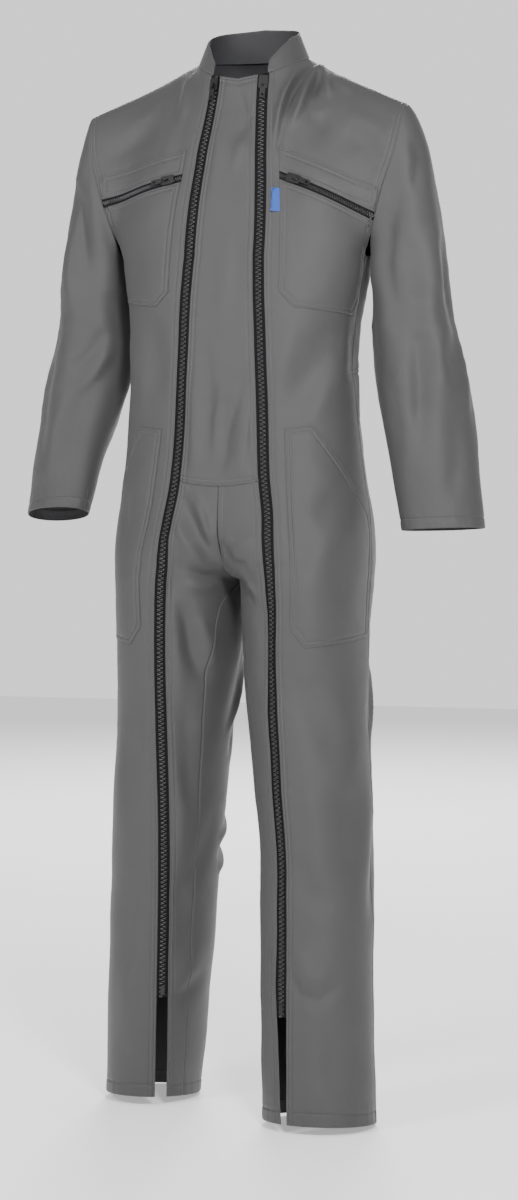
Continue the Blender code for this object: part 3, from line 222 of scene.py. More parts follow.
# Creases listed by the way they face, in degrees round from the front towards the
# wearer's left. Each is its width, its depth and the points of its path, in mm, as seen from that
# way: x and z in front or behind, y and z at the sides. They fade towards both ends.
AHEAD, LEFTWARD, BEHIND, RIGHTWARD = 0, 90, 180, 270
CREASES = {
    AHEAD: (
        # drawn from the left neck point over the chest
        (4.6, 8.8, 76, 10, 72, -8, 64.5, -36, 62, -65, 63, -108),
        (4.6, 8.4, 101, 20, 97, 5, 92, -29, 89, -54, 80, -84),
        (4.8, 7.2, 100, 12, 106, 1, 118, -19, 127, -40), (7, 3.3, 122, -4, 134, -14, 154, -34),
        (5.8, -6.8, 89, 6, 83, -14, 75, -38, 69, -70), (6, -6.2, 102, 4, 104, -14, 104, -40),
        (4.5, -3.9, 67, -66, 66, -94, 66, -124), (10, -3.6, 118, -60, 128, -92),
        (8, 3, -92, 6, -88, -20, -80, -62), (8, -3, -104, 0, -100, -30, -94, -70),
        (12, 2.4, -118, -20, -140, -52, -180, -78),
        # shoulders and chest
        (12, 2.7, 150, -60, 185, -78, 216, -110), (15, -3.9, 150, -90, 184, -110, 204, -150),
        (14, -3.6, -120, -75, -160, -95, -205, -118), (11, 2.7, -206, -130, -190, -200, -176, -250),
        (11, 2.7, 206, -150, 192, -205, 178, -250),
        # bib
        (8.5, -4.2, 0, -26, 12, -54, 18, -72, 18, -104), (8, 3, 24, -80, 12, -108, 8, -150),
        (10, 2.1, -22, -60, -18, -120, -22, -200), (13, -2.7, 30, -190, 20, -260, 26, -330),
        (12, 2.7, 2, -230, 6, -300, -2, -380), (9.5, -4.5, -22, -380, -18, -440, -20, -530, -22, -566),
        (9, -4.5, 34, -420, 28, -450, 12, -508, 10, -550), (8, 3.9, -40, -440, -38, -500, -36, -566),
        (7.5, 4.2, 4, -430, -4, -490, -4, -560), (7, 3.3, 40, -480, 34, -530, 30, -566),
        # side fronts
        (23, -6.9, 168, -336, 140, -390, 104, -474), (14, 3.9, 165, -400, 140, -450, 124, -500),
        (16, 3, 100, -350, 86, -410, 80, -470), (18, -4.2, -112, -340, -100, -400, -96, -460),
        (14, 3.6, -150, -370, -130, -430, -124, -490), (17, -5.1, 130, -630, 148, -606, 178, -580),
        (15, 3.3, 134, -700, 152, -660, 172, -630), (20, -3.6, 110, -560, 116, -640, 122, -720),
        (16, -3.6, -140, -520, -150, -600, -144, -690),
        # crotch
        (4.8, 5.4, -4, -684, 12, -700, 34, -708), (4.5, 5.1, 26, -698, 36, -708, 56, -730),
        (4.5, -4.8, 20, -700, 34, -718, 48, -742), (6, -4.5, 4, -668, 22, -684, 44, -690),
        (6, 4.2, 6, -650, 26, -662, 52, -660), (9.5, -7.2, -54, -592, -40, -622, -20, -660, -10, -690),
        (7, 5.1, -32, -596, -20, -626, -8, -664), (7, 5.1, -62, -620, -48, -650, -24, -684),
        (6, -4.5, -6, -700, -26, -704, -52, -694), (5.5, 4.8, -6, -712, -26, -720, -54, -716),
        (11, -6.6, -56, -660, -62, -700, -66, -745),
        # right thigh and leg
        (11, -8.4, -56, -726, -48, -770, -44, -810, -32, -860),
        (12, 4.8, -68, -750, -64, -820, -62, -890), (8, 4.2, -36, -760, -26, -800, -22, -840),
        (13, -4.5, -54, -880, -58, -960, -60, -1040), (10, 3.9, -74, -960, -68, -1030, -74, -1100),
        (12, -3.6, -76, -1130, -70, -1190, -74, -1260), (9, -4.8, -84, -1306, -68, -1284, -56, -1262),
        (12, 3.9, -86, -1290, -70, -1262, -64, -1220), (20, -4.2, -120, -860, -140, -940, -142, -1030),
        (18, 3.3, -150, -900, -160, -990, -158, -1080),
        (18, -3.6, -130, -1120, -152, -1180, -160, -1260),
        (16, 3, -134, -1220, -150, -1290, -146, -1380),
        # left thigh and leg
        (10, -3.6, 62, -740, 66, -800, 64, -860), (24, -5.1, 120, -840, 146, -900, 170, -960),
        (15, 3.3, 164, -860, 180, -930, 176, -1010), (14, -4.5, 176, -990, 188, -1040, 190, -1110),
        (18, 3, 130, -990, 146, -1060, 144, -1130), (16, -3.6, 118, -1080, 140, -1130, 172, -1150),
        (9, -5.1, 112, -1226, 130, -1264, 156, -1272, 186, -1248),
        (11, 3.9, 120, -1200, 140, -1240, 168, -1246), (16, -3.3, 150, -1300, 176, -1340, 186, -1400),
        (8, 2.7, 88, -1190, 92, -1250, 90, -1320),
        # right sleeve
        (18, -12, -254, -140, -248, -174, -232, -236, -214, -310),
        (11, 5.1, -222, -130, -216, -190, -206, -260), (12, 4.8, -268, -220, -256, -290, -242, -360),
        (9, -6, -200, -360, -222, -392, -250, -420), (8, 5.1, -196, -388, -216, -420, -244, -452),
        (12, -5.1, -228, -430, -246, -490, -258, -560), (11, 4.2, -256, -440, -276, -500, -288, -580),
        (11, -3.6, -290, -400, -300, -460, -304, -540),
        # left sleeve
        (13, 6, 270, -130, 280, -170, 284, -250, 280, -350, 288, -460),
        (16, -7.5, 236, -160, 220, -220, 216, -284, 240, -380),
        (9, -5.1, 250, -100, 258, -130, 256, -180), (9, 5.4, 296, -330, 288, -400, 296, -450),
        (12, -4.5, 262, -370, 266, -440, 262, -520), (12, 3.3, 238, -400, 246, -480, 250, -560),
        (12, -3.9, 306, -470, 312, -540, 306, -600),
    ),
    LEFTWARD: (
        # inside of the right leg
        (7, 6, 20, -826, -10, -872, -52, -930), (9, -6, 30, -850, 6, -900, -36, -960),
        (7, 5.4, 30, -1040, 0, -1066, -40, -1082), (8, -6, 34, -1062, 2, -1090, -40, -1104),
        (7, 5.1, 28, -1094, -4, -1118, -30, -1126),
        # left sleeve
        (14, -6, -50, -230, -34, -300, -30, -370), (11, 4.5, -10, -350, -18, -420, -30, -500),
        # sides
        (18, -5.1, -60, -300, -50, -370, -56, -440), (14, 4.5, -10, -400, 4, -470, -4, -540),
        (18, -4.2, 0, -760, -20, -850, -60, -930), (16, -4.2, -60, -1030, -80, -1100, -110, -1180),
    ),
    BEHIND: (
        # elbows, from behind
        (9, 6, 226, -338, 250, -352, 284, -350), (8, -5.4, 228, -360, 254, -376, 290, -372),
        (9, 5.7, 232, -390, 258, -402, 296, -394), (10, 4.2, 240, -430, 264, -446, 296, -440),
        (14, -4.5, 232, -160, 246, -230, 250, -310), (11, 3.9, 276, -460, 284, -530, 280, -600),
        (9, 6, -222, -346, -248, -362, -282, -356), (8, -5.4, -226, -370, -254, -388, -288, -380),
        (9, 5.4, -230, -400, -258, -414, -292, -404), (10, 4.2, -240, -440, -264, -454, -292, -450),
        (14, -4.5, -230, -150, -244, -230, -248, -310), (11, 3.6, -276, -470, -282, -530, -278, -590),
        # back
        (12, 5.7, 190, -100, 168, -150, 138, -230), (14, -5.4, 166, -140, 140, -200, 110, -300),
        (12, 5.4, -192, -106, -168, -160, -130, -240), (14, -5.4, -166, -150, -138, -210, -104, -290),
        (18, -3.6, 30, -60, 40, -140, 30, -240), (18, 3, -40, -70, -30, -160, -40, -260),
        (10, -5.4, -110, -352, -40, -370, 40, -366), (9, 5.4, -20, -394, 50, -404, 124, -392),
        (10, -4.5, 30, -346, 80, -340, 140, -324), (9, 5.1, -146, -386, -100, -402, -50, -400),
        (10, -3.6, -80, -300, -20, -320, 20, -318),
        # seat and the backs of the legs
        (15, -4.5, 60, -460, 90, -520, 130, -560), (15, -4.5, -56, -460, -90, -526, -126, -570),
        (10, -5.7, 8, -620, 36, -656, 80, -694), (10, -5.7, -8, -616, -36, -650, -84, -690),
        (9, 6.3, 30, -702, 90, -726, 158, -730), (9, 6.3, -28, -704, -88, -730, -152, -736),
        (10, 4.8, 50, -752, 100, -776, 150, -784), (10, 4.8, -52, -756, -104, -782, -156, -792),
        (10, 6.3, 62, -970, 110, -980, 172, -970), (9, -5.4, 70, -1000, 120, -1012, 176, -1002),
        (10, 5.4, 76, -1034, 124, -1046, 184, -1036), (10, 6.3, -60, -966, -106, -980, -168, -976),
        (9, -5.4, -66, -998, -116, -1012, -172, -1006),
        (10, 5.4, -72, -1032, -122, -1046, -178, -1040),
        (17, -4.5, 110, -1100, 130, -1190, 130, -1290),
        (17, -4.5, -112, -1110, -128, -1200, -132, -1300),
    ),
    RIGHTWARD: (
        # right sleeve
        (14, -6, -48, -220, -32, -290, -30, -360), (11, 4.5, -8, -340, -16, -410, -30, -490),
        # sides
        (18, -5.1, -58, -300, -50, -370, -56, -440), (14, 4.5, -8, -400, 6, -470, -4, -540),
        (18, -4.2, 6, -760, -10, -850, -30, -930), (16, -4.2, -30, -1030, -20, -1100, -24, -1180),
    ),
}

# ---- how finely the sheets are divided, and how their edges are worked ----
PITCH = 0.0044
STITCHED = (0.0, 0.0005, 0.0012, 0.0020, 0.0029, 0.0038, 0.0050, 0.0066, 0.0076, 0.0086, 0.0100)
PLAIN = (0.0, 0.0010, 0.0024, 0.0042)
TURNED = (0.0, 0.0006, 0.0014, 0.0030, 0.0060, 0.0100, 0.0136, 0.0146, 0.0156, 0.0166, 0.0176, 0.0190)
ROWS = (0.0029, 0.0081)      # a seam's two rows of stitches, from its edge
HEM_ROW, CUFF_ROW = 0.0171, 0.0146
WALL = 0.0012
COLLAR_WALL = 0.0024
THREAD_LIFT = 0.00012
COLLAR_UNDERLAP = 0.0030     # the inner face runs this far below the neck seam
TAPE_DEPTH = 0.0015          # the tape lies this far below the cloth's face

# ---- pockets: share across the side front, height ----
PATCH_VIEW = radians(35)
CHEST_POCKET = dict(
    top_inner=(0.108, -0.112), top_outer=(0.950, -0.157),
    chamfer_outer=(0.820, -0.335), chamfer_inner=(0.210, -0.334), low_inner=(0.121, -0.313),
)
CHEST_LOW_OUTER = {LEFT: (0.930, -0.312), RIGHT: (0.860, -0.312)}
CHEST_ZIP_INNER, CHEST_ZIP_OUTER, CHEST_ZIP_BAND = (0.100, -0.146), (0.950, -0.190), 0.0105
CHEST_EDGE_GAP, CHEST_TAPE_LAP = 0.0004, 0.0016
CHEST_DROP = {LEFT: -0.013, RIGHT: 0.015}
HIP_POCKET = (
    (0.982, -0.640), (0.982, -0.680), (0.982, -0.720), (0.982, -0.760), (0.97, -0.790),
    (0.300, -0.801), (0.182, -0.776), (0.140, -0.503), (0.345, -0.499), (0.940, -0.618),
)
LABEL_TOP, LABEL_LOW = (0.108, -0.1705), (0.1125, -0.2035)
LABEL_WIDTH, LABEL_TUCK, LABEL_WALL = 0.0090, 0.0014, 0.0005
LABEL_RISE, LABEL_CURL, LABEL_LINES = 0.0006, 0.0024, (0.0004, 0.0010)
HIP_SEWN = (4, 5, 6, 7, 8)      # the sides that are sewn down, by their first corners

# ---- camera and lights ----
CAMERA_TURN = radians(19)
CAMERA_DISTANCE = 4.2
CAMERA_HEIGHT = -0.57
CAMERA_SHIFT = (0.0035, -0.1017)
CAMERA_LENS, CAMERA_FILM = 59.16, 24             # mm
FLOOR_REACH, FLOOR_GAP = 7.0, 0.001              # the floor lies just below the hems
ROOM_LIGHT, BACKDROP_LIGHT = 0.50, 1.20          # strengths of the room and of its back wall,
ROOM_END, BACKDROP_START = 0.50, 0.85            # which meet between these shares of the way back
LIGHTS = (      # name, place, target, size, power
    ("key", (1.2, -2.1, 0.55), (0.0, -0.05, -0.2), 0.5, 66),
    ("fill", (-1.0, -2.0, 0.35), (0.0, -0.05, -0.2), 0.8, 30),
    ("back", (-1.2, 4.2, 1.9), (0.0, -0.05, -1.0), 1.8, 260),
)


# ---- settings ----
def linear(code):
    """Scene-linear red, green and blue of an sRGB hex value."""
    channels = ((code >> shift & 255) / 255 for shift in (16, 8, 0))
    return tuple(c / 12.92 if c <= 0.04045 else ((c + 0.055) / 1.055) ** 2.4 for c in channels)


def colour(name, description, code):
    return FloatVectorProperty(name=name, description=description, default=linear(code), size=3,
                               subtype="COLOR", min=0.0, max=1.0)


def length(name, description, default):
    return FloatProperty(name=name, description=description, default=default, min=0.0, unit="LENGTH",
                         precision=5)


class SuitColours(bpy.types.PropertyGroup):
    twill: colour("Twill", "Face of the cloth", 0x444344)
    reverse: colour("Reverse", "Wrong side of the cloth, seen in the collar, cuffs and slits", 0x3C3C3E)
    thread: colour("Thread", "Topstitching", 0x5C5C5E)
    tape: colour("Tape", "Zip tape", 0x0A0A0B)
    teeth: colour("Teeth", "Moulded zip teeth and stops", 0x0C0C0D)
    # The flanks colour is a painted highlight: the sides of the teeth are drawn paler, as if lit by the
    # lamps.
    flanks: colour("Flanks", "Sides of the teeth, rubbed pale by the sliders", 0x505053)
    zinc: colour("Zinc", "Painted sliders and pull tabs", 0x0E0E0F)
    label: colour("Label", "Blank woven label", 0x1D4B9E)
    floor: colour("Floor", "Studio floor and backdrop", 0xF4F4F4)


class SuitSizes(bpy.types.PropertyGroup):
    stitch_pitch: length("Stitch Pitch", "From one stitch to the next", 0.0032)
    stitch_length: length("Stitch Length", "Thread that shows in one stitch", 0.0026)
    thread_width: length("Thread Width", "Thickness of the topstitching thread", 0.00050)
    tooth_pitch: length("Tooth Pitch", "From one tooth of the long zips to the next, both sides", 0.0030)
    tooth_width: length("Tooth Width", "Across a tooth of the long zips", 0.0062)
    chest_tooth_pitch: length("Chest Tooth Pitch", "From one tooth of the chest zips to the next", 0.0018)
    chest_tooth_width: length("Chest Tooth Width", "Across a tooth of the chest zips", 0.0043)
    pucker: length("Pucker", "Height of the cloth's ripples beside a seam", 0.00045)


def colours():
    return bpy.context.scene.suit_colours


def sizes():
    return bpy.context.scene.suit_sizes


# ---- curves, on whole arrays of places ----
def hermite(start, end, start_pull, end_pull, t):
    return (start * (2 * t ** 3 - 3 * t * t + 1) + start_pull * (t ** 3 - 2 * t * t + t)
            + end * (3 * t * t - 2 * t ** 3) + end_pull * (t ** 3 - t * t))


def smooth(table, column, at):
    """A table's column at places in its first column, on a smooth curve through the rows."""
    rows = np.array(sorted(table))
    places, values = rows[:, 0], rows[:, column]
    last = len(places) - 1
    before, after = np.maximum(np.arange(last + 1) - 1, 0), np.minimum(np.arange(last + 1) + 1, last)
    slopes = (values[after] - values[before]) / (places[after] - places[before])
    at = np.clip(at, places[0], places[-1])
    low = np.clip(np.searchsorted(places, at, side="right") - 1, 0, last - 1)
    span = places[low + 1] - places[low]
    return hermite(values[low], values[low + 1], slopes[low] * span, slopes[low + 1] * span,
                   (at - places[low]) / span)


def ease(t):
    t = np.clip(t, 0.0, 1.0)
    return t * t * (3 - 2 * t)


def join(x, y, z):
    return np.stack(np.broadcast_arrays(x, y, z), axis=-1)


def size_of(vectors):
    return np.linalg.norm(vectors, axis=-1, keepdims=True)


def unit(vectors):
    return vectors / np.maximum(size_of(vectors), 1e-12)


def mirrored(side, points):
    return points * np.array((side, 1, 1))


# ---- the suit's form ----
def body_point(side, angle, height):
    table = TORSO + LEG[side]
    centre_x, half_width, front, back, centre_y = (smooth(table, k, height) for k in range(1, 6))
    outer = np.sin(angle) > 0
    boxy = 1 + smooth(SQUARENESS, 1, height) * np.where(outer, np.sin(2 * angle) ** 2, 0.0)
    depth = np.where(np.cos(angle) > 0, front, back)
    slant = HEM_SLANT * np.maximum(0.0, (HEM_SLANT_START - height) / (HEM_SLANT_START - HEM))
    return join(side * (centre_x + half_width * np.sin(angle) * boxy),
                centre_y - depth * np.cos(angle) * boxy, height + slant * np.cos(angle))


def middle_angle(side, height):
    table = TORSO + LEG[side]
    above = -np.arcsin(np.clip(smooth(table, 1, height) / smooth(table, 2, height), 0, 1))
    return np.where(height > CROTCH, above, -np.radians(smooth(INSEAM, 1, height)))


def seam_angle(height):
    return np.radians(smooth(SIDE_SEAM, 1, height))


def zip_angle(side, height):
    reach = smooth(ZIP_TRACK[side], 1, height)
    low, high = np.full(np.shape(height), -QUARTER), np.full(np.shape(height), QUARTER)
    for _ in range(HALVINGS):
        angle = (low + high) / 2
        inside = np.abs(body_point(side, angle, height)[..., 0]) < reach
        low, high = np.where(inside, angle, low), np.where(inside, high, angle)
    return (low + high) / 2


def lower_front(side, across, height):
    track = zip_angle(side, height)
    inner, outer = track - middle_angle(side, height), seam_angle(height) - track
    points = body_point(side, track + np.where(across < 0, inner, outer) * across, height)
    points[..., 0] = np.where((across <= -1) & (height > CROTCH), 0.0, points[..., 0])
    return points


def lower_back(side, across, height):
    turn = middle_angle(side, height)
    middle = np.where(height > CROTCH, pi - turn, 2 * pi + turn)
    points = body_point(side, middle + (seam_angle(height) - middle) * across, height)
    points[..., 0] = np.where((across <= 0) & (height > CROTCH), 0.0, points[..., 0])
    return points


def neck(angle):
    depth = np.where(np.cos(angle) > 0, NECK_FRONT, NECK_BACK)
    return join(NECK_HALF_WIDTH * np.sin(angle), -depth * np.cos(angle),
                smooth(NECK_RISE, 1, np.degrees(angle)))


ZIP_ON_NECK = asin(ZIP_REACH_AT_NECK / NECK_HALF_WIDTH)


def shoulder(along):
    start = neck(np.array(SHOULDER_ON_NECK))
    along = np.asarray(along)[..., None]
    points = start + (SHOULDER_TIP - start) * along
    points[..., 2] -= SHOULDER_SAG * np.sin(pi * along[..., 0])
    return points


def armhole(side, turn):
    """Round the armhole: 0 under the arm, 0.25 in front, 0.5 at the tip, 0.75 behind."""
    angle = 2 * pi * turn
    top = SHOULDER_TIP[2]
    height = (top + ARMPIT) / 2 - (top - ARMPIT) / 2 * np.cos(angle)
    middle = UNDERARM_Y + (SHOULDER_TIP[1] - UNDERARM_Y) * (1 - np.cos(angle)) / 2
    reach = np.where(np.sin(angle) > 0, ARMHOLE_FRONT, ARMHOLE_BACK)
    return join(side * smooth(ARMHOLE_LEAN, 1, height), middle - reach * np.sin(angle), height)


def top_edge(side, across, neck_start):
    inner = neck(neck_start * (1 + np.minimum(across, 0)))
    share = np.clip(across / NECK_SHARE, 0, 1)
    middle = neck(neck_start + (SHOULDER_ON_NECK - neck_start) * share)
    outer = shoulder(np.maximum(across - NECK_SHARE, 0) / (1 - NECK_SHARE))
    place = np.asarray(across)[..., None]
    return mirrored(side, np.where(place < 0, inner, np.where(place < NECK_SHARE, middle, outer)))


def rounded_top_edge(side, across, neck_start):
    reach = np.minimum(ROUNDING, np.minimum(np.maximum(across, 0), 1 - across))
    return sum(top_edge(side, across + reach * k / 3, neck_start) for k in range(-3, 4)) / 7


def upper_cloth(side, across, rise, neck_start, foot, foot_pull, top_pull, turn):
    """Cloth from the armpit section up to the top edge, drawn sideways to the armhole."""
    edge = top_edge(side, across, neck_start)
    soft = rounded_top_edge(side, across, neck_start)
    step = np.asarray(rise)[..., None]

    def column(place, end):
        start = foot(place)
        reach = size_of(end - start)
        return hermite(start, end, foot_pull(place) * reach, top_pull(place) * reach, step)

    points = column(across, soft) + (edge - soft) * step ** 4
    one = np.ones_like(across)
    drawn = armhole(side, turn) - column(one, top_edge(side, one, neck_start))
    return points + drawn * (np.maximum(across, 0) ** 1.5)[..., None]


def near_armpit(side, angle, above=0.0):
    return body_point(side, angle, np.full(np.shape(angle), ARMPIT + above))


def climb(side, angle):
    """The way the body rises at the armpit section."""
    return (near_armpit(side, angle, STEP) - near_armpit(side, angle, -STEP)) / (2 * STEP)


def upper_front(side, across, rise):
    track = zip_angle(side, np.array(ARMPIT))

    def foot_angle(place):
        return np.where(place < 0, track * (1 + place), track + (QUARTER - track) * place)

    def top_pull(place):
        share = ease(place / TOP_LEAN)[..., None]
        lean = LEAN_AT_ZIP + (LEAN_AT_SHOULDER - LEAN_AT_ZIP) * share
        return unit(lean) * (PULL_AT_ZIP + (PULL_AT_SHOULDER - PULL_AT_ZIP) * share)

    return upper_cloth(side, across, rise, ZIP_ON_NECK,
                       lambda place: near_armpit(side, foot_angle(place)),
                       lambda place: climb(side, foot_angle(place)) * FRONT_FOOT_PULL,
                       top_pull, 0.5 * rise)


def upper_back(side, across, rise):
    lean = unit(BACK_LEAN) * PULL_AT_BACK
    return upper_cloth(side, across, rise, pi,
                       lambda place: near_armpit(side, pi - QUARTER * place),
                       lambda place: climb(side, pi - QUARTER * place),
                       lambda place: np.broadcast_to(lean, np.shape(place) + (3,)), 1 - 0.5 * rise)


def by_level(lower, upper, side, across, level):
    """Below the armpit a level is a height, above it the share of the way up to the top edge."""
    across, level = np.broadcast_arrays(across, level)
    points = np.empty(across.shape + (3,))
    high = level > 0
    points[~high] = lower(side, across[~high], ARMPIT + level[~high])
    points[high] = upper(side, across[high], level[high] / UPPER_LENGTH)
    return points


def front_cloth(side, across, level):
    height = ARMPIT + level
    near_waist = np.clip(1 - np.abs(height - WAIST) / WAIST_BOW_REACH, 0, 1)
    bow = WAIST_BOW * (1 - (1 + across) ** 2) * near_waist
    return by_level(lower_front, upper_front, side, across, level - np.where(across < 0, bow, 0.0))


def back_cloth(side, across, level):
    return by_level(lower_back, upper_back, side, across, level)


def sleeve_ring(side, turn, height):
    centre_x, centre_y, half_width, half_depth, twist = (
        smooth(SLEEVE[side], column, height) for column in range(1, 6))
    out, forward = -half_width * np.cos(2 * pi * turn), half_depth * np.sin(2 * pi * turn)
    twist = np.radians(twist)
    x = out * np.cos(twist) + forward * np.sin(twist)
    y = out * np.sin(twist) - forward * np.cos(twist)
    tilt = np.maximum(0.0, (SLEEVE_TILT_START - height) / (SLEEVE_TILT_START - SLEEVE[side][-1][0]))
    lift = tilt * (CUFF_ROLL[side] * x - CUFF_TILT[side] * y)
    return join(side * (centre_x + x), centre_y + y, height + lift)


def sleeve_cloth(side, turn, level):
    """The sleeve, from the armhole at level 0 down to the cuff."""
    turn, level = np.broadcast_arrays(turn, level)
    first = np.full(turn.shape, SLEEVE_START)
    start, end = armhole(side, turn), sleeve_ring(side, turn, first)
    reach = size_of(end - start)
    outer = ((1 - np.cos(2 * pi * turn)) / 2)[..., None]
    zero = np.zeros_like(outer)
    leave = unit(np.concatenate((side * CAP_SPREAD * outer ** 1.5, zero, CAP_LIFT * outer - 1), axis=-1))
    arrive = unit(sleeve_ring(side, turn, first - STEP) - end)
    along = np.clip(level / CAP_LENGTH, 0, 1)[..., None]
    cap = hermite(start, end, leave * reach * (UNDERARM_PULL + (CAP_PULL[side] - UNDERARM_PULL) * outer),
                  arrive * reach, along)
    below = sleeve_ring(side, turn, SLEEVE_START - np.maximum(level - CAP_LENGTH, 0))
    return np.where(level[..., None] < CAP_LENGTH, cap, below)


# ---- laying out a sheet of cloth ----
# The grids of a sheet: its points, the directions out of it, and each point's distance from its edges.
Sheet = namedtuple("Sheet", "points out left right top low")


def graded(low, high, fine_low, fine_high, pitch=PITCH):
    """Places from low to high, at set distances from both ends and evenly between."""
    start, end = low + fine_low[-1], high - fine_high[-1]
    count = max(2, round((end - start) / pitch))
    middle = start + (end - start) * np.arange(1, count) / count
    return np.concatenate((low + np.array(fine_low), middle, high - np.array(fine_high[::-1])))


def path_lengths(points, axis):
    steps = np.linalg.norm(np.diff(points, axis=axis), axis=-1)
    start = np.zeros_like(np.take(steps, [0], axis=axis))
    return np.concatenate((start, np.cumsum(steps, axis=axis)), axis=axis)


def measured_rows(surface, levels, first, last, targets_of):
    """Points of a surface whose columns lie at set distances along each row."""
    shares = np.linspace(first, last, 321)
    lengths = path_lengths(surface(shares[None, :], levels[:, None]), 1)
    chosen = [np.interp(target, row, shares) for target, row in zip(targets_of(lengths), lengths)]
    return surface(np.array(chosen), levels[:, None])


def lay_out(surface, levels, fine_first, fine_last, first=0.0, skip_first=0.0, skip_last=0.0):
    """A panel from share first to 1, with columns at fixed distances from its two side edges.

    It leaves out the widths to skip at each side.
    """
    skip_first, skip_last = (np.broadcast_to(skip, levels.shape) for skip in (skip_first, skip_last))

    def targets_of(lengths):
        widths = lengths[:, -1] - skip_first - skip_last
        inner = len(graded(0, widths.max(), fine_first, fine_last)) - len(fine_first) - len(fine_last)
        rows = []
        for width, start in zip(widths, skip_first):
            run = width - fine_first[-1] - fine_last[-1]
            middle = fine_first[-1] + run * np.arange(1, inner + 1) / (inner + 1)
            rows.append(start + np.concatenate((fine_first, middle, width - np.array(fine_last[::-1]))))
        return np.array(rows)

    return measured_rows(surface, levels, first, 1.0, targets_of)


def out_of(points, centre):
    """Directions out of a grid of points, away from a centre line."""
    out = unit(np.cross(np.gradient(points, axis=1), np.gradient(points, axis=0)))
    away = (out[..., :2] * (points[..., :2] - np.array(centre))).sum()
    return out if away > 0 else -out


def make_sheet(points, centre, closed=False):
    """Measure a grid of points as a sheet. Row 0 is its low edge."""
    out = out_of(points, centre)
    if closed:
        seam = unit(out[:, :1] + out[:, -1:])
        out[:, :1], out[:, -1:] = seam, seam
    across, along = path_lengths(points, 1), path_lengths(points, 0)
    return Sheet(points, out, across, across[:, -1:] - across, along[-1:] - along, along)


# ---- relief ----
GROOVE, GROOVE_WIDTH = 0.00110, 0.0009               # a row of stitches draws the cloth in
DIP, DIP_WIDTH = 0.00100, 0.0012                     # cloth dips into a seam
ROUNDING_DEPTH, ROUNDING_WIDTH = 0.00075, 0.0006     # the rounding of a turned edge
TURNED_IN = 0.00030                                  # a turned edge stands proud by this
PUCKER_REACH, SEAM_REACH, CLEAR_OF_EDGE = 0.010, 0.012, 0.002
RIPPLES = ((0.0125, 1.7), (0.0190, 4.1), (0.0310, 2.9))   # wave length, and its turn with the seed
SWELL, SWELL_SIZE = 0.0018, 0.070                    # the whole cloth's slow unevenness
RUMPLE, RUMPLE_SIZE, RUMPLED_LEAST = 0.0010, (0.024, 0.024, 0.015), 0.22
# Places where worn cloth rumples: x, y, z, reach, strength
RUMPLES = (
    (0.262, -0.030, -0.385, 0.085, 1.0), (-0.262, -0.030, -0.395, 0.085, 1.0),
    (0.000, -0.060, -0.690, 0.090, 0.8), (0.110, 0.020, -0.990, 0.100, 0.9),
    (-0.105, 0.050, -0.990, 0.100, 0.9), (0.000, 0.060, -0.390, 0.150, 0.7),
    (0.190, 0.020, -0.240, 0.090, 0.8), (-0.190, 0.020, -0.240, 0.090, 0.8),
    (0.120, 0.060, -0.750, 0.110, 0.7), (-0.120, 0.060, -0.750, 0.110, 0.7),
)
FULLY_SEEN = 0.5             # a fold has its full depth where the cloth faces its way by this much
NEXT_SEED = 1.3              # sets each edge's ripples apart


def bell(distance, width):
    return np.exp(-(distance / width) ** 2)


def ripple(along, seed):
    """Uneven ripples beside a seam, from -1 to 1."""
    return sum(np.sin(2 * pi * along / wave + seed * turn) for wave, turn in RIPPLES) / len(RIPPLES)


def row_relief(distance, along, rows, seed):
    """Stitches draw the cloth in along each row, and pucker it beside the seam."""
    grooves = GROOVE * sum(bell(distance - row, GROOVE_WIDTH) for row in rows)
    beside = bell(np.maximum(distance - rows[-1], 0), PUCKER_REACH) * (1 - bell(distance, CLEAR_OF_EDGE))
    return sizes().pucker * ripple(along, seed) * beside - grooves


def folded_edge(distance, along, rows, seed):
    """Cloth turned under: a rounded edge, double as far as the last row of stitches."""
    double = TURNED_IN * (1 - ease((distance - rows[-1] + 0.001) / 0.002))
    rounding = ROUNDING_DEPTH * bell(distance, ROUNDING_WIDTH)
    return double - rounding + row_relief(distance, along, rows, seed)


def seam_edge(distance, along, rows, seed):
    """A seam: the cloth dips into it, and ripples a little where no row is sewn beside it."""
    dip = DIP * bell(distance, DIP_WIDTH)
    if rows:
        return row_relief(distance, along, rows, seed) - dip
    return 0.6 * sizes().pucker * ripple(along, seed) * bell(distance, SEAM_REACH) - dip


def along_path(places, path):
    """The share of a path's length at its nearest point to each place, and how far away that is."""
    runs = np.diff(path, axis=0)
    lengths = np.linalg.norm(runs, axis=1)
    nearest, share = np.full(places.shape[:-1], np.inf), np.zeros(places.shape[:-1])
    for start, run, long, before in zip(path, runs, lengths, np.cumsum(lengths) - lengths):
        along = np.clip(((places - start) * run).sum(-1) / long ** 2, 0, 1)
        away = np.linalg.norm(places - start - along[..., None] * run, axis=-1)
        share = np.where(away < nearest, (before + along * long) / lengths.sum(), share)
        nearest = np.minimum(nearest, away)
    return share, nearest


def fold_relief(points, out):
    """How far the folds and creases move the points of a sheet out."""
    relief = np.zeros(points.shape[:-1])
    from_front, from_side = points[..., (0, 2)], points[..., (1, 2)]
    for facing, folds in BROAD_FOLDS.items():
        towards = ease(facing * out[..., 1] / FULLY_SEEN)
        for *ends, width, depth in folds:
            _, away = along_path(from_front, np.reshape(ends, (2, 2)) * MM)
            relief += depth * MM * towards * bell(away, width * MM)
    for facing, creases in CREASES.items():
        turn = radians(facing)
        towards = ease((out[..., 0] * sin(turn) - out[..., 1] * cos(turn)) / FULLY_SEEN)
        seen = from_side if facing in (LEFTWARD, RIGHTWARD) else from_front
        for width, depth, *path in creases:
            share, away = along_path(seen, np.reshape(path, (-1, 2)) * MM)
            fade = np.sin(pi * np.clip(share, 0.01, 0.99)) ** 0.7
            relief += depth * MM * towards * fade * bell(away, width * MM)
    return relief


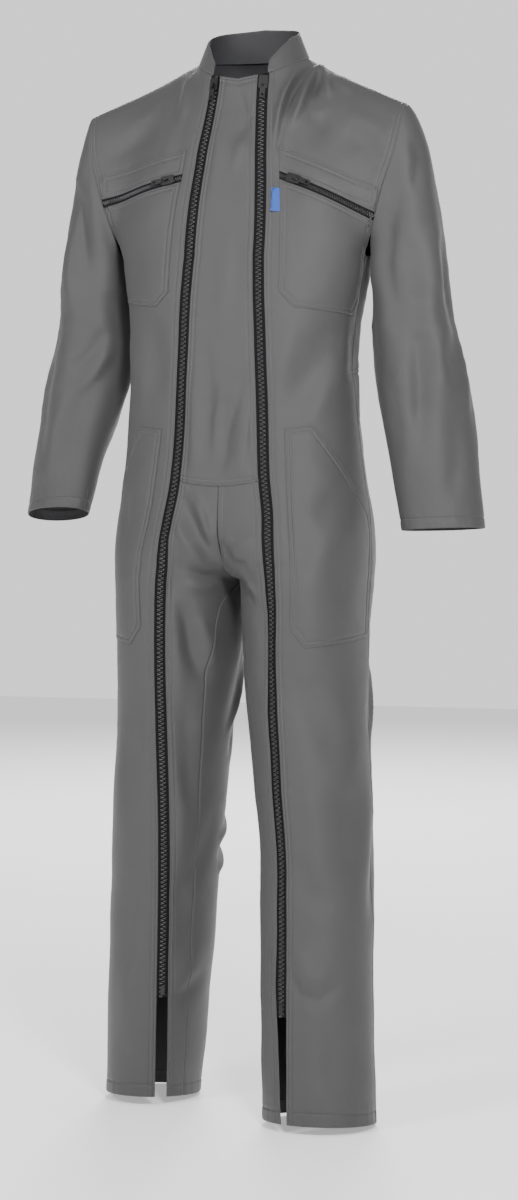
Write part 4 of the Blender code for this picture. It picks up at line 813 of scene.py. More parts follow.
def soft_relief(points):
    """Slow unevenness of the whole cloth, and finer rumpling where it bends most."""
    flat = points.reshape(-1, 3)
    broad, fine = (np.array([noise.noise(Vector(place)) for place in flat / size])
                   for size in (SWELL_SIZE, RUMPLE_SIZE))
    worn = np.full(len(flat), RUMPLED_LEAST)
    for x, y, z, reach, strength in RUMPLES:
        worn += strength * np.exp(-((flat - (x, y, z)) ** 2).sum(1) / reach ** 2)
    return (SWELL * broad + RUMPLE * fine * worn).reshape(points.shape[:-1])


def relieve(sheet, centre, edges, seed, closed=False):
    """Press folds, soft unevenness and worked edges into a sheet.

    edges names each worked edge: its kind and its rows of stitches.
    """
    relief = fold_relief(sheet.points, sheet.out) + soft_relief(sheet.points)
    for number, (edge, kind, rows) in enumerate(edges):
        along = sheet.low if edge in ("left", "right") else sheet.left
        relief += kind(getattr(sheet, edge), along, rows, seed + NEXT_SEED * number)
    return make_sheet(sheet.points + sheet.out * relief[..., None], centre, closed)


# ---- meshes ----
def grid_mesh(name, sheet):
    """A sheet as a mesh whose faces point out, with its own measures as the weave's UV map."""
    rows, columns = sheet.points.shape[:2]
    made = bmesh.new()
    bmesh.ops.create_grid(made, x_segments=columns - 1, y_segments=rows - 1, size=0.5)
    mesh = bpy.data.meshes.new(name)
    made.to_mesh(mesh)
    made.free()
    flat = np.empty(len(mesh.vertices) * 3)
    mesh.vertices.foreach_get("co", flat)
    flat = flat.reshape(-1, 3) + 0.5
    column = np.rint(flat[:, 0] * (columns - 1)).astype(int)
    row = np.rint(flat[:, 1] * (rows - 1)).astype(int)
    mesh.vertices.foreach_set("co", sheet.points[row, column].ravel())
    across = sheet.left - sheet.left[:, -1:] / 2
    corner = np.empty(len(mesh.loops), dtype=np.int32)
    mesh.loops.foreach_get("vertex_index", corner)
    weave = np.stack((across[row, column], sheet.low[row, column]), 1)
    mesh.uv_layers.new(name="weave").uv.foreach_set("vector", weave[corner].ravel())
    natural = np.cross(np.gradient(sheet.points, axis=1), np.gradient(sheet.points, axis=0))
    if (natural * sheet.out).sum() < 0:
        mesh.flip_normals()
    return mesh


def show(name, mesh, *finishes):
    """Link a mesh as a piece of the scene, in its finishes."""
    mesh.shade_smooth()
    for each in finishes:
        mesh.materials.append(finish(each))
    piece = bpy.data.objects.new(name, mesh)
    bpy.context.scene.collection.objects.link(piece)
    return piece


def give_thickness(piece, thickness, lining):
    """Cloth thickness, inwards, with the wrong side in its own finish."""
    wall = piece.modifiers.new("thickness", "SOLIDIFY")
    wall.thickness = thickness
    wall.offset = -1.0
    wall.use_even_offset = False
    wall.material_offset = 1 if lining else 0


def declare(piece, node):
    """Say which body a sheet rides on, and hide the node it stands for."""
    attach(piece, GARMENT)
    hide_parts(node)


def declare_draped(piece, node):
    declare(piece, node)


# ---- sewing ----
SEWING = []     # rows of stitches to make: points and directions out


def stitch_row(sheet, edge, inset, start=None, stop=None):
    """Note a row of stitches along a sheet's edge, from row or column start to stop."""
    points, out, distance = sheet.points, sheet.out, getattr(sheet, edge)
    if edge in ("top", "low"):
        points, out, distance = points.swapaxes(0, 1), out.swapaxes(0, 1), distance.T
    if distance[0, 0] > distance[0, -1]:
        points, out, distance = points[:, ::-1], out[:, ::-1], distance[:, ::-1]
    place, away = (np.array([[np.interp(inset, steps, line[:, axis]) for axis in range(3)]
                             for steps, line in zip(distance[start:stop], lines[start:stop])])
                   for lines in (points, out))
    SEWING.append((place, unit(away)))


def spread_along(points, out, pitch):
    """Places at an even pitch along a line, with directions along it and out of it."""
    steps = path_lengths(points, 0)
    marks = np.arange(pitch / 2, steps[-1], pitch)

    def at(values, places):
        return np.stack([np.interp(places, steps, values[:, axis]) for axis in range(3)], axis=-1)

    along = unit(at(points, marks + pitch / 4) - at(points, marks - pitch / 4))
    return at(points, marks), along, unit(at(out, marks))


def small_parts(name, slot, places, along, out, template, *finishes):
    """One mesh of many copies of a small shape, each standing on its place."""
    points = bpy.data.meshes.new(name)
    points.vertices.add(len(places))
    points.vertices.foreach_set("co", places.ravel())
    for label, values in (("along", along), ("out", out)):
        layer = points.attributes.new(label, "FLOAT_VECTOR", "POINT")
        layer.data.foreach_set("vector", values.ravel())
    holder = bpy.data.objects.new(name, points)
    bpy.context.scene.collection.objects.link(holder)
    shape = bpy.data.meshes.new(name + "_one")
    template.to_mesh(shape)
    template.free()
    one = show(name + "_one", shape, *finishes)

    tree = bpy.data.node_groups.new(name, "GeometryNodeTree")
    for direction in ("INPUT", "OUTPUT"):
        tree.interface.new_socket("Geometry", in_out=direction, socket_type="NodeSocketGeometry")
    source = add_node(tree, "NodeGroupInput")
    standing, lying = (add_node(tree, "GeometryNodeInputNamedAttribute", {"Name": label},
                                data_type="FLOAT_VECTOR").outputs["Attribute"]
                       for label in ("out", "along"))
    turn = add_node(tree, "FunctionNodeAxesToRotation", {0: standing, 1: lying},
                    primary_axis="Z", secondary_axis="Y")
    part = add_node(tree, "GeometryNodeObjectInfo", {"Object": one})
    copies = add_node(tree, "GeometryNodeInstanceOnPoints",
                      {"Points": source.outputs[0], "Instance": part.outputs["Geometry"],
                       "Rotation": turn.outputs[0]})
    real = add_node(tree, "GeometryNodeRealizeInstances", {"Geometry": copies.outputs[0]})
    add_node(tree, "NodeGroupOutput", {0: real.outputs[0]})
    holder.modifiers.new("copies", "NODES").node_group = tree
    evaluated = holder.evaluated_get(bpy.context.evaluated_depsgraph_get())
    mesh = bpy.data.meshes.new_from_object(evaluated)
    for item in (holder, one):
        bpy.data.objects.remove(item)
    for label in ("along", "out"):
        if label in mesh.attributes:
            mesh.attributes.remove(mesh.attributes[label])
    piece = show(name, mesh)
    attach(piece, GARMENT)


# ---- materials ----
def add_node(tree, kind, inputs=None, **settings):
    """Add a node, set it, and link or set its inputs."""
    node = tree.nodes.new(kind)
    for name, value in settings.items():
        setattr(node, name, value)
    for name, value in (inputs or {}).items():
        if isinstance(value, bpy.types.NodeSocket):
            tree.links.new(value, node.inputs[name])
        else:
            node.inputs[name].default_value = value
    return node


def new_material(name, **shader_inputs):
    """A Principled material, its tree and shader, and its place in the solid and in the weave."""
    material = bpy.data.materials.new(name)
    material.use_nodes = True
    tree = material.node_tree
    shader = tree.nodes["Principled BSDF"]
    for key, value in shader_inputs.items():
        shader.inputs[key.replace("_", " ").title().replace("Ior", "IOR")].default_value = value
    solid = add_node(tree, "ShaderNodeTexCoord").outputs["Object"]
    weave = add_node(tree, "ShaderNodeUVMap", uv_map="weave").outputs[0]
    return material, tree, shader, solid, weave


def shade_of(rgb, factor):
    return (*(min(1.0, channel * factor) for channel in rgb), 1.0)


def dress(tree, shader, pattern, rgb, shades, height=None, strength=0.0, distance=0.0):
    """Turn a colour between two shades by a pattern, and let a height stand out of the surface."""
    dark, light = (shade_of(rgb, factor) for factor in shades)
    mix = add_node(tree, "ShaderNodeMix", {0: pattern, 6: dark, 7: light}, data_type="RGBA")
    tree.links.new(mix.outputs[2], shader.inputs["Base Color"])
    if height:
        relief = add_node(tree, "ShaderNodeBump",
                          {"Height": height, "Strength": strength, "Distance": distance})
        tree.links.new(relief.outputs[0], shader.inputs["Normal"])


def twill_material(name, rgb, sheen):
    """Polyester and cotton twill, woven in a diagonal and pressed.

    The diagonal catches light on its ribs, the yarns vary a little, and long floats give a soft
    satin gleam on sharp folds.
    """
    material, tree, shader, solid, weave = new_material(
        name, roughness=0.56, sheen_weight=sheen, sheen_roughness=0.35, specular_ior_level=0.35)
    # Ribs of 0.5 mm are drawn 1.3 mm apart, because finer ones don't show.
    ribs = add_node(tree, "ShaderNodeTexWave",
                    {"Vector": weave, "Scale": 342.0, "Distortion": 1.2, "Detail": 1.0},
                    wave_type="BANDS", bands_direction="DIAGONAL").outputs[1]
    # Weft yarns break the ribs up every 0.9 mm.
    wefts = add_node(tree, "ShaderNodeTexWave",
                     {"Vector": weave, "Scale": 350.0, "Distortion": 2.0, "Detail": 1.0},
                     wave_type="BANDS", bands_direction="Y").outputs[1]
    # Uneven dye and wear, in patches of about 80 mm.
    patches = add_node(tree, "ShaderNodeTexNoise",
                       {"Vector": solid, "Scale": 12.0, "Detail": 3.0, "Roughness": 0.55}).outputs[0]
    # Slubs: thicker yarns about 15 mm long.
    stretched = add_node(tree, "ShaderNodeMapping", {"Vector": weave, "Scale": (900.0, 70.0, 1.0)})
    slubs = add_node(tree, "ShaderNodeTexNoise",
                     {"Vector": stretched.outputs[0], "Scale": 1.0, "Detail": 1.0}).outputs[0]
    dyed, spun, ribbed = (
        add_node(tree, "ShaderNodeMix", {0: pattern, 6: shade_of(rgb, dark), 7: shade_of(rgb, light)},
                 data_type="RGBA").outputs[2]
        for pattern, dark, light in ((patches, 0.90, 1.10), (slubs, 0.86, 1.14), (ribs, 0.80, 1.12)))
    for share, layer in ((0.40, spun), (0.28, ribbed)):
        dyed = add_node(tree, "ShaderNodeMix", {0: share, 6: dyed, 7: layer}, data_type="RGBA").outputs[2]
    tree.links.new(dyed, shader.inputs["Base Color"])
    height = add_node(tree, "ShaderNodeMath", {0: ribs, 1: wefts, 2: wefts}, operation="MULTIPLY_ADD")
    relief = add_node(tree, "ShaderNodeBump",
                      {"Height": height.outputs[0], "Strength": 0.30, "Distance": 0.00020})
    # Fine pressed-in rumples about 12 mm across.
    rumples = add_node(tree, "ShaderNodeTexNoise", {"Vector": solid, "Scale": 80.0, "Detail": 2.0})
    soft = add_node(tree, "ShaderNodeBump", {"Height": rumples.outputs[0], "Strength": 0.22,
                                             "Distance": 0.0012, "Normal": relief.outputs[0]})
    tree.links.new(soft.outputs[0], shader.inputs["Normal"])
    return material


def thread_material():
    """Spun polyester thread, twisted: a little lighter than the cloth and slightly glossy."""
    material, tree, shader, solid, _ = new_material("spun_polyester_thread", roughness=0.45,
                                                    sheen_weight=0.3)
    # Ply twist every 0.6 mm.
    twist = add_node(tree, "ShaderNodeTexWave", {"Vector": solid, "Scale": 520.0},
                     bands_direction="DIAGONAL")
    dress(tree, shader, twist.outputs[1], colours().thread, (0.82, 1.12))
    return material


def tape_material():
    """Woven polyester zip tape, herringbone ribs along its length: matt black."""
    material, tree, shader, _, weave = new_material("woven_polyester_tape", roughness=0.75,
                                                    specular_ior_level=0.2)
    # Ribs of 0.7 mm are drawn 1 mm apart, and the picks across them every 0.8 mm.
    ribs, picks = (add_node(tree, "ShaderNodeTexWave",
                            {"Vector": weave, "Scale": scale, "Distortion": uneven},
                            bands_direction=way).outputs[1]
                   for scale, uneven, way in ((314.0, 0.6, "X"), (380.0, 1.0, "Y")))
    height = add_node(tree, "ShaderNodeMath", {0: ribs, 1: picks}, operation="ADD").outputs[0]
    dress(tree, shader, picks, colours().tape, (0.8, 1.5), height, 0.5, 0.0002)
    return material


def moulded_material(name, rgb, roughness):
    """Injection-moulded acetal: black, waxy gloss with a faint flow texture; a pale copy is a painted
    highlight on the teeth's flanks.
    """
    material, tree, shader, solid, _ = new_material(name, roughness=roughness, ior=1.48)
    # Flow marks of about 1 mm.
    flow = add_node(tree, "ShaderNodeTexNoise", {"Vector": solid, "Scale": 900.0}).outputs[0]
    dress(tree, shader, flow, rgb, (0.8, 1.5), flow, 0.15, 0.0001)
    return material


def zinc_material():
    """Die-cast zinc under baked dark enamel: smooth and glossy, worn grey in small scuffs."""
    material, tree, shader, solid, _ = new_material("enamelled_zinc", roughness=0.32, ior=1.50,
                                                    coat_weight=0.3, coat_roughness=0.2)
    # Scuffs of about 1.5 mm.
    scuffs = add_node(tree, "ShaderNodeTexNoise",
                      {"Vector": solid, "Scale": 650.0, "Detail": 4.0}).outputs[0]
    worn = add_node(tree, "ShaderNodeMapRange", {0: scuffs, 1: 0.56, 2: 0.72}).outputs[0]
    dress(tree, shader, worn, colours().zinc, (1.0, 7.0), scuffs, 0.12, 0.0001)
    return material


def label_material():
    """Woven taffeta label tape: soft blue, fine ribs across, left blank."""
    material, tree, shader, _, weave = new_material("woven_taffeta_label", roughness=0.62,
                                                    sheen_weight=0.25)
    # Ribs of 0.3 mm are drawn 0.8 mm apart.
    ribs = add_node(tree, "ShaderNodeTexWave", {"Vector": weave, "Scale": 390.0, "Distortion": 0.4},
                    bands_direction="Y").outputs[1]
    dress(tree, shader, ribs, colours().label, (0.86, 1.10), ribs, 0.35, 0.00015)
    return material


def floor_material():
    """Painted studio floor: matt, very slightly mottled."""
    material, tree, shader, solid, _ = new_material(
        "matt_studio_paint", roughness=0.9, emission_strength=0.42, emission_color=(1, 1, 1, 1))
    mottle = add_node(tree, "ShaderNodeTexNoise", {"Vector": solid, "Scale": 2.0}).outputs[0]
    dress(tree, shader, mottle, colours().floor, (0.99, 1.01))
    return material


MAKERS = {
    "twill": lambda: twill_material("pressed_twill", colours().twill, 0.10),
    "reverse": lambda: twill_material("twill_reverse", colours().reverse, 0.05),
    "thread": thread_material,
    "tape": tape_material,
    "moulded": lambda: moulded_material("moulded_acetal", colours().teeth, 0.30),
    # The pale flanks of the teeth: a painted highlight.
    "rubbed": lambda: moulded_material("rubbed_acetal", colours().flanks, 0.40),
    "zinc": zinc_material,
    "label": label_material,
    "floor": floor_material,
}
FINISHES = {}


def finish(name):
    """A finish, made once and shared by all that has it."""
    if name not in FINISHES:
        FINISHES[name] = MAKERS[name]()
    return FINISHES[name]


# ---- panels ----
WAIST_ROWS, CENTRE_ROWS = (0.0020, 0.0072), (0.0020, 0.0078)
SLEEVE_SEAM_START = 0.004     # the armhole's stitches begin this far above the armpit


def band_half(side, levels):
    """Half the opening between the cloth edges, which narrows down the leg slit."""
    share = np.clip((SLIT_TOP - ARMPIT - levels) / (SLIT_TOP - HEM), 0, 1)
    return BAND_HALF + (SLIT_HALF_AT_HEM[side] - BAND_HALF) * share


def two_sided(surface, inner):
    """A surface across both halves of the body, from -1 on the right to 1 on the left."""
    def both(shares, levels):
        across = np.abs(shares) - 1 if inner else np.abs(shares)
        right, left = surface(RIGHT, across, levels), surface(LEFT, across, levels)
        return np.where((shares < 0)[..., None], right, left)
    return both


def show_panel(name, sheet, closed=False):
    mesh = grid_mesh(name, sheet)
    if closed:
        merged = bmesh.new()
        merged.from_mesh(mesh)
        bmesh.ops.remove_doubles(merged, verts=merged.verts, dist=0.00002)
        merged.to_mesh(mesh)
        merged.free()
    piece = show(name + "_cloth", mesh, "twill", "reverse")
    give_thickness(piece, WALL, True)
    declare_draped(piece, name)


def add_panel(name, points, centre, edges, seed, closed=False):
    """Work a laid-out grid of points, show it as a panel, and sew its rows."""
    worked = relieve(make_sheet(points, centre, closed), centre, edges, seed, closed)
    show_panel(name, worked, closed)
    for edge, _, rows in edges:
        for row in rows:
            stitch_row(worked, edge, row)
    return worked


def sew_centre(sheet, levels):
    """Two rows beside the centre seam, from the crotch up."""
    for row in CENTRE_ROWS:
        stitch_row(sheet, "left", row, start=int(np.argmax(levels > CROTCH - ARMPIT)))


def make_bib():
    levels = graded(WAIST - ARMPIT, UPPER_LENGTH, STITCHED, STITCHED)
    points = lay_out(two_sided(front_cloth, True), levels, STITCHED, STITCHED, -1.0, BAND_HALF, BAND_HALF)
    edges = (("left", folded_edge, ROWS), ("right", folded_edge, ROWS), ("top", folded_edge, ROWS),
             ("low", seam_edge, WAIST_ROWS))
    add_panel("bib", points, (0, -0.03), edges, 1.0)


def make_side_front(side, hand):
    levels = graded(HEM - ARMPIT, UPPER_LENGTH, TURNED, PLAIN)
    points = lay_out(partial(front_cloth, side), levels, STITCHED, STITCHED,
                     skip_first=band_half(side, levels))
    centre = (side * 0.03, -0.03)
    sheet = make_sheet(points, centre)
    edges = (("left", folded_edge, ROWS), ("low", folded_edge, (HEM_ROW,)), ("top", seam_edge, ()))
    worked = relieve(sheet, centre, edges, 2.0 + side)
    # Rows are sewn beside the armhole, and none beside the side seam below it.
    armhole_seam = seam_edge(sheet.right, sheet.low, ROWS, 2.7 + side)
    side_seam = seam_edge(sheet.right, sheet.low, (), 3.1)
    relief = np.where((levels > 0)[:, None], armhole_seam, side_seam)
    shown = make_sheet(worked.points + worked.out * relief[..., None], centre)
    show_panel(f"side_front_{hand}", shown)
    for row in ROWS:
        stitch_row(shown, "left", row)
        stitch_row(shown, "right", row, start=int(np.argmax(levels > SLEEVE_SEAM_START)))
    stitch_row(shown, "low", HEM_ROW)


def make_inner_leg(side, hand):
    levels = graded(HEM - ARMPIT, WAIST - ARMPIT, TURNED, STITCHED)
    points = lay_out(lambda share, level: front_cloth(side, share - 1, level), levels, STITCHED, STITCHED,
                     skip_last=band_half(side, levels))
    edges = (("right", folded_edge, ROWS), ("low", folded_edge, (HEM_ROW,)), ("top", seam_edge, ()),
             ("left", seam_edge, ()))
    worked = add_panel(f"inner_leg_{hand}", points, (side * 0.10, -0.04), edges, 4.0 + side)
    if side == LEFT:
        sew_centre(worked, levels)


def make_back_body():
    levels = graded(BACK_WAIST - ARMPIT, UPPER_LENGTH, STITCHED, STITCHED)
    points = lay_out(two_sided(back_cloth, False), levels, PLAIN, PLAIN, -1.0)
    edges = (("left", seam_edge, ()), ("right", seam_edge, ()), ("top", seam_edge, ROWS),
             ("low", seam_edge, WAIST_ROWS))
    add_panel("back_body", points, (0.0, -0.05), edges, 6.0)


def make_back_leg(side, hand):
    levels = graded(HEM - ARMPIT, BACK_WAIST - ARMPIT, TURNED, PLAIN)
    points = lay_out(partial(back_cloth, side), levels, STITCHED, PLAIN)
    edges = (("low", folded_edge, (HEM_ROW,)), ("top", seam_edge, ()), ("left", seam_edge, ()),
             ("right", seam_edge, ()))
    worked = add_panel(f"back_leg_{hand}", points, (side * 0.06, -0.05), edges, 7.0 + side)
    if side == LEFT:
        sew_centre(worked, levels)


def make_sleeve(side, hand):
    cuff = CAP_LENGTH + SLEEVE_START - SLEEVE[side][-1][0]
    levels = graded(0.0, cuff, PLAIN, TURNED)[::-1]
    underarm = (0.0, 0.002)
    points = lay_out(partial(sleeve_cloth, side), levels, underarm, underarm)
    edges = (("top", seam_edge, ()), ("low", folded_edge, (CUFF_ROW,)))
    add_panel(f"sleeve_{hand}", points, (side * 0.255, -0.025), edges, 9.0 + side, closed=True)


COLLAR_TOP_ROW, COLLAR_FOOT_ROW = 0.0022, 0.0020
COLLAR_ENDS = (0, 0.4, 1, 2, 3.5)     # degrees
COLLAR_SHARES = np.array((0, 0.03, 0.07, 0.12, *np.linspace(0.18, 0.80, 8), 0.86, 0.90, 0.94, 0.97, 1.0))
ROW_FADE = 0.02              # the top row fades where the collar is lower than this
COLLAR_BARE = 3              # columns without stitches at each end
CLOSED_END = 0.0016          # the two faces meet within this of the collar's ends
UPWARD, LEVEL = (0, 0, 2), (2, 2, 0)     # the rim leaves a face upward and comes over the top level
INNER_SOFTNESS, OUTER_SOFTNESS = 0.3, 0.7


def collar_level(angle, share):
    """The collar's outer face: share 0 at the neck seam, 1 at the top edge."""
    stand = smooth(COLLAR_STAND, 1, np.degrees(angle)) * share
    inward = join(-np.sin(angle), np.cos(angle), 0.0) * COLLAR_LEAN
    return neck(angle) + (inward + np.array((0, 0, 1.0))) * stand[..., None]


def make_collar():
    """A folded stand collar: outer face, rounded top edge and inner face in one strip."""
    turns = np.radians(graded(COLLAR_START, 360 - COLLAR_START, COLLAR_ENDS, COLLAR_ENDS, 3.0))
    face = collar_level(np.minimum(turns, 2 * pi - turns)[None, :], COLLAR_SHARES[:, None])
    face[..., 0] *= np.where(turns > pi, -1.0, 1.0)
    sheet = make_sheet(face, (0, 0))
    tall = ease(sheet.low[-1:] / ROW_FADE)
    end = np.minimum(sheet.left, sheet.right)
    softness = soft_relief(face)
    relief = softness * OUTER_SOFTNESS + 0.5 * seam_edge(sheet.low, sheet.left, (), 3.0)
    relief += row_relief(sheet.top, sheet.left, (COLLAR_TOP_ROW,), 3.0) * tall
    relief += row_relief(end, sheet.low, (COLLAR_TOP_ROW,), 5.0) * tall
    outer = face + sheet.out * relief[..., None]
    inner = face - sheet.out * (COLLAR_WALL + INNER_SOFTNESS * softness - 0.0002)[..., None]
    inner[0] -= unit(inner[1] - inner[0]) * COLLAR_UNDERLAP
    closing = np.sqrt(1 - (1 - np.clip(end / CLOSED_END, 0, 1)) ** 2)[..., None]
    middle = (outer + inner) / 2
    outer, inner = (middle + (side - middle) * closing for side in (outer, inner))
    over = (outer[-1] + inner[-1]) / 2 + unit(outer[-1] - outer[-2]) * COLLAR_WALL * 0.45
    rim = [hermite(edge, over, (over - edge) * UPWARD, (over - edge) * LEVEL, t)
           for edge, t in ((outer[-1], 0.35), (outer[-1], 0.7), (outer[-1], 1.0),
                           (inner[-1], 0.7), (inner[-1], 0.35))]
    loop = np.concatenate((outer, rim, inner[::-1]))
    natural = unit(np.cross(np.gradient(loop, axis=1), np.gradient(loop, axis=0)))
    turned = (natural[3] * sheet.out[3]).sum() < 0
    strip = make_sheet(loop, (0, 0))._replace(out=-natural if turned else natural)
    mesh = grid_mesh("collar", strip)
    piece = show("collar_cloth", mesh, "twill", "reverse")
    first_inside = (len(outer) + 3) * (len(turns) - 1)     # past the outer face and half of the rim
    for number, polygon in enumerate(mesh.polygons):
        polygon.material_index = int(number >= first_inside)
    declare(piece, "collar")
    shown = make_sheet(outer, (0, 0))
    for edge, row in (("top", COLLAR_TOP_ROW), ("low", COLLAR_FOOT_ROW)):
        stitch_row(shown, edge, row, COLLAR_BARE, len(turns) - COLLAR_BARE)


# ---- patches on the side fronts ----
def on_side_front(side, corner):
    """The point of a side front at a share across and a height."""
    across, height = np.array(corner[0]), corner[1]
    if height <= ARMPIT:
        return Vector(lower_front(side, across, np.array(height)))
    low, high = 0.0, 1.0
    for _ in range(HALVINGS):
        rise = (low + high) / 2
        if upper_front(side, across, np.array(rise))[2] < height:
            low = rise
        else:
            high = rise
    return Vector(upper_front(side, across, np.array((low + high) / 2)))


def chest_corner(side, corner):
    across, height = corner
    drop = CHEST_DROP[side] * (across - CHEST_ZIP_INNER[0]) / (CHEST_ZIP_OUTER[0] - CHEST_ZIP_INNER[0])
    return on_side_front(side, (across, height + drop))


def crossing(a, b, c, d):
    """Where the flat lines ab and cd cross."""
    ab, cd, ac = b - a, d - c, c - a
    return a + ab * (ac.cross(cd) / ab.cross(cd))


def sides_of(corners):
    """The sides of a convex outline: each one's start, its direction and the direction in from it."""
    middle = sum(corners, Vector((0, 0))) / len(corners)
    found = []
    for start, end in zip(corners, corners[1:] + corners[:1]):
        run = (end - start).normalized()
        inward = Vector((-run.y, run.x))
        found.append((start, run, -inward if inward.dot(middle - start) < 0 else inward))
    return found


def shrunk(corners, inset):
    """A convex outline moved in by a distance."""
    moved = [(start + inward * inset, run) for start, run, inward in sides_of(corners)]
    return [crossing(first, first + before, second, second + after)
            for (first, before), (second, after) in zip(moved[-1:] + moved[:-1], moved)]


class PatchPlane:
    """The flat view in which patches are cut, and the cloth that they lie on."""

    def __init__(self, side, mesh):
        self.view = Vector((-side * sin(PATCH_VIEW), cos(PATCH_VIEW), 0))
        self.right = Vector((cos(PATCH_VIEW), side * sin(PATCH_VIEW), 0))
        self.aim(mesh)

    def aim(self, mesh):
        """Lay what follows on another mesh."""
        target = bmesh.new()
        target.from_mesh(mesh)
        bmesh.ops.triangulate(target, faces=target.faces)
        self.tree = BVHTree.FromBMesh(target)
        target.free()

    def flat(self, point):
        return Vector((point.dot(self.right), point.z))

    def drape(self, place):
        """The cloth's point and direction out, under a place in the flat view."""
        start = self.right * place[0] + Vector((0, 0, place[1])) - self.view * 0.6
        hit, out, _, _ = self.tree.ray_cast(start, self.view)
        if hit is None:
            hit, out, _, _ = self.tree.find_nearest(start + self.view * 0.55)
        return hit, -out if out.dot(self.view) > 0 else out

    def drape_line(self, start, end, count):
        """Points and directions out along a straight line of the flat view."""
        hits = [self.drape(start.lerp(end, step / count)) for step in range(count + 1)]
        return np.array([hit for hit, _ in hits]), np.array([out for _, out in hits])


PATCH_RISE, PATCH_GROOVE, PATCH_ROUNDING = 0.0015, 0.00090, 0.0005
PATCH_LINES = (0.0006, 0.0013, 0.0021, 0.0030, 0.0062, 0.0071, 0.0080)
PATCH_ROWS = (0.0016, 0.0071)
PATCH_PITCH, PATCH_WALL, PATCH_PUCKER = 0.004, 0.0008, 0.00045
AIR, PUFF = 0.0007, 0.0011               # a pocket stands off the cloth by this, and by this unevenly
TAPE_RISE, TAPE_WALL, PATCH_TEETH = 0.0007, 0.0004, 0.0014
HIP_GAPE = 0.0005


def cut_patch(corners, lines):
    """A flat convex patch with extra lines beside its edges, as a bmesh in the XY plane."""
    low = Vector((min(c.x for c in corners), min(c.y for c in corners)))
    high = Vector((max(c.x for c in corners), max(c.y for c in corners)))
    span, middle = high - low, (high + low) / 2
    patch = bmesh.new()
    place = Matrix.Translation((*middle, 0)) @ Matrix.Diagonal((span.x + 0.004, span.y + 0.004, 1, 1))
    bmesh.ops.create_grid(patch, x_segments=max(1, round(span.x / PATCH_PITCH)),
                          y_segments=max(1, round(span.y / PATCH_PITCH)), size=0.5, matrix=place)
    for inset in (0.0, *lines):
        for start, _, inward in sides_of(shrunk(corners, inset) if inset else corners):
            bmesh.ops.bisect_plane(patch, geom=patch.verts[:] + patch.edges[:] + patch.faces[:],
                                   dist=1e-6, plane_co=(*start, 0), plane_no=(*-inward, 0),
                                   clear_outer=not inset)
    return patch


def drape_patch(name, slot, plane, corners, lines, rise_of, thickness, *finishes):
    """Lay a flat patch on the cloth. rise_of gives its height from a place and its edge distances."""
    patch = cut_patch(corners, lines)
    sides = sides_of(corners)
    weave = patch.loops.layers.uv.new("weave")
    for face in patch.faces:
        for corner in face.loops:
            corner[weave].uv = corner.vert.co.xy
    for vert in patch.verts:
        place = vert.co.xy
        hit, out = plane.drape(place)
        distances = [max(0.0, inward.dot(place - start)) for start, _, inward in sides]
        vert.co = hit + out * rise_of(place, distances)
    patch.normal_update()
    if sum((face.normal for face in patch.faces), Vector()).dot(plane.view) > 0:
        bmesh.ops.reverse_faces(patch, faces=patch.faces)
    mesh = bpy.data.meshes.new(name)
    patch.to_mesh(mesh)
    area = sum(face.calc_area() for face in patch.faces)
    patch.free()
    lined = len(finishes) > 1
    piece = show(name + ("_cloth" if lined else "_tape"), mesh, *finishes)
    give_thickness(piece, thickness, lined)
    declare(piece, name)
    return mesh


def pocket_rise(seed, gape):
    """Height of a pocket over the cloth: turned edges, stitch rows and a little air inside."""
    def rise_of(place, distances):
        nearest, past_rows = min(distances), min(distances) - PATCH_ROWS[-1]
        turned = PATCH_RISE - PATCH_ROUNDING * bell(nearest, ROUNDING_WIDTH)
        for row in PATCH_ROWS:
            turned -= PATCH_GROOVE * bell(nearest - row, GROOVE_WIDTH)
        puff = noise.noise(Vector((place.x / 0.055, place.y / 0.075, seed)))
        pucker = noise.noise(Vector((place.x / 0.013, place.y / 0.013, seed + 4)))
        near_rows = bell(max(past_rows, 0), 0.008) * ease(nearest / CLEAR_OF_EDGE)
        air = ease(past_rows / 0.03) * (AIR + PUFF * puff + gape)
        return float(turned + air + PATCH_PUCKER * pucker * near_rows)
    return rise_of


def make_pocket(name, plane, cloth, outline, seed, sewn, gape=0.0):
    """A twill patch with its rows of stitches, inside the sewn sides of its outline."""
    mesh = drape_patch(name, "twill", plane, outline, PATCH_LINES, pocket_rise(seed, gape), PATCH_WALL,
                       "twill", "reverse")
    plane.aim(mesh)
    for row in PATCH_ROWS:
        inside = shrunk(outline, row)
        for k in sewn:
            start, end = inside[k], inside[(k + 1) % len(inside)]
            SEWING.append(plane.drape_line(start, end, max(2, int((end - start).length / 0.003))))
    plane.aim(cloth)


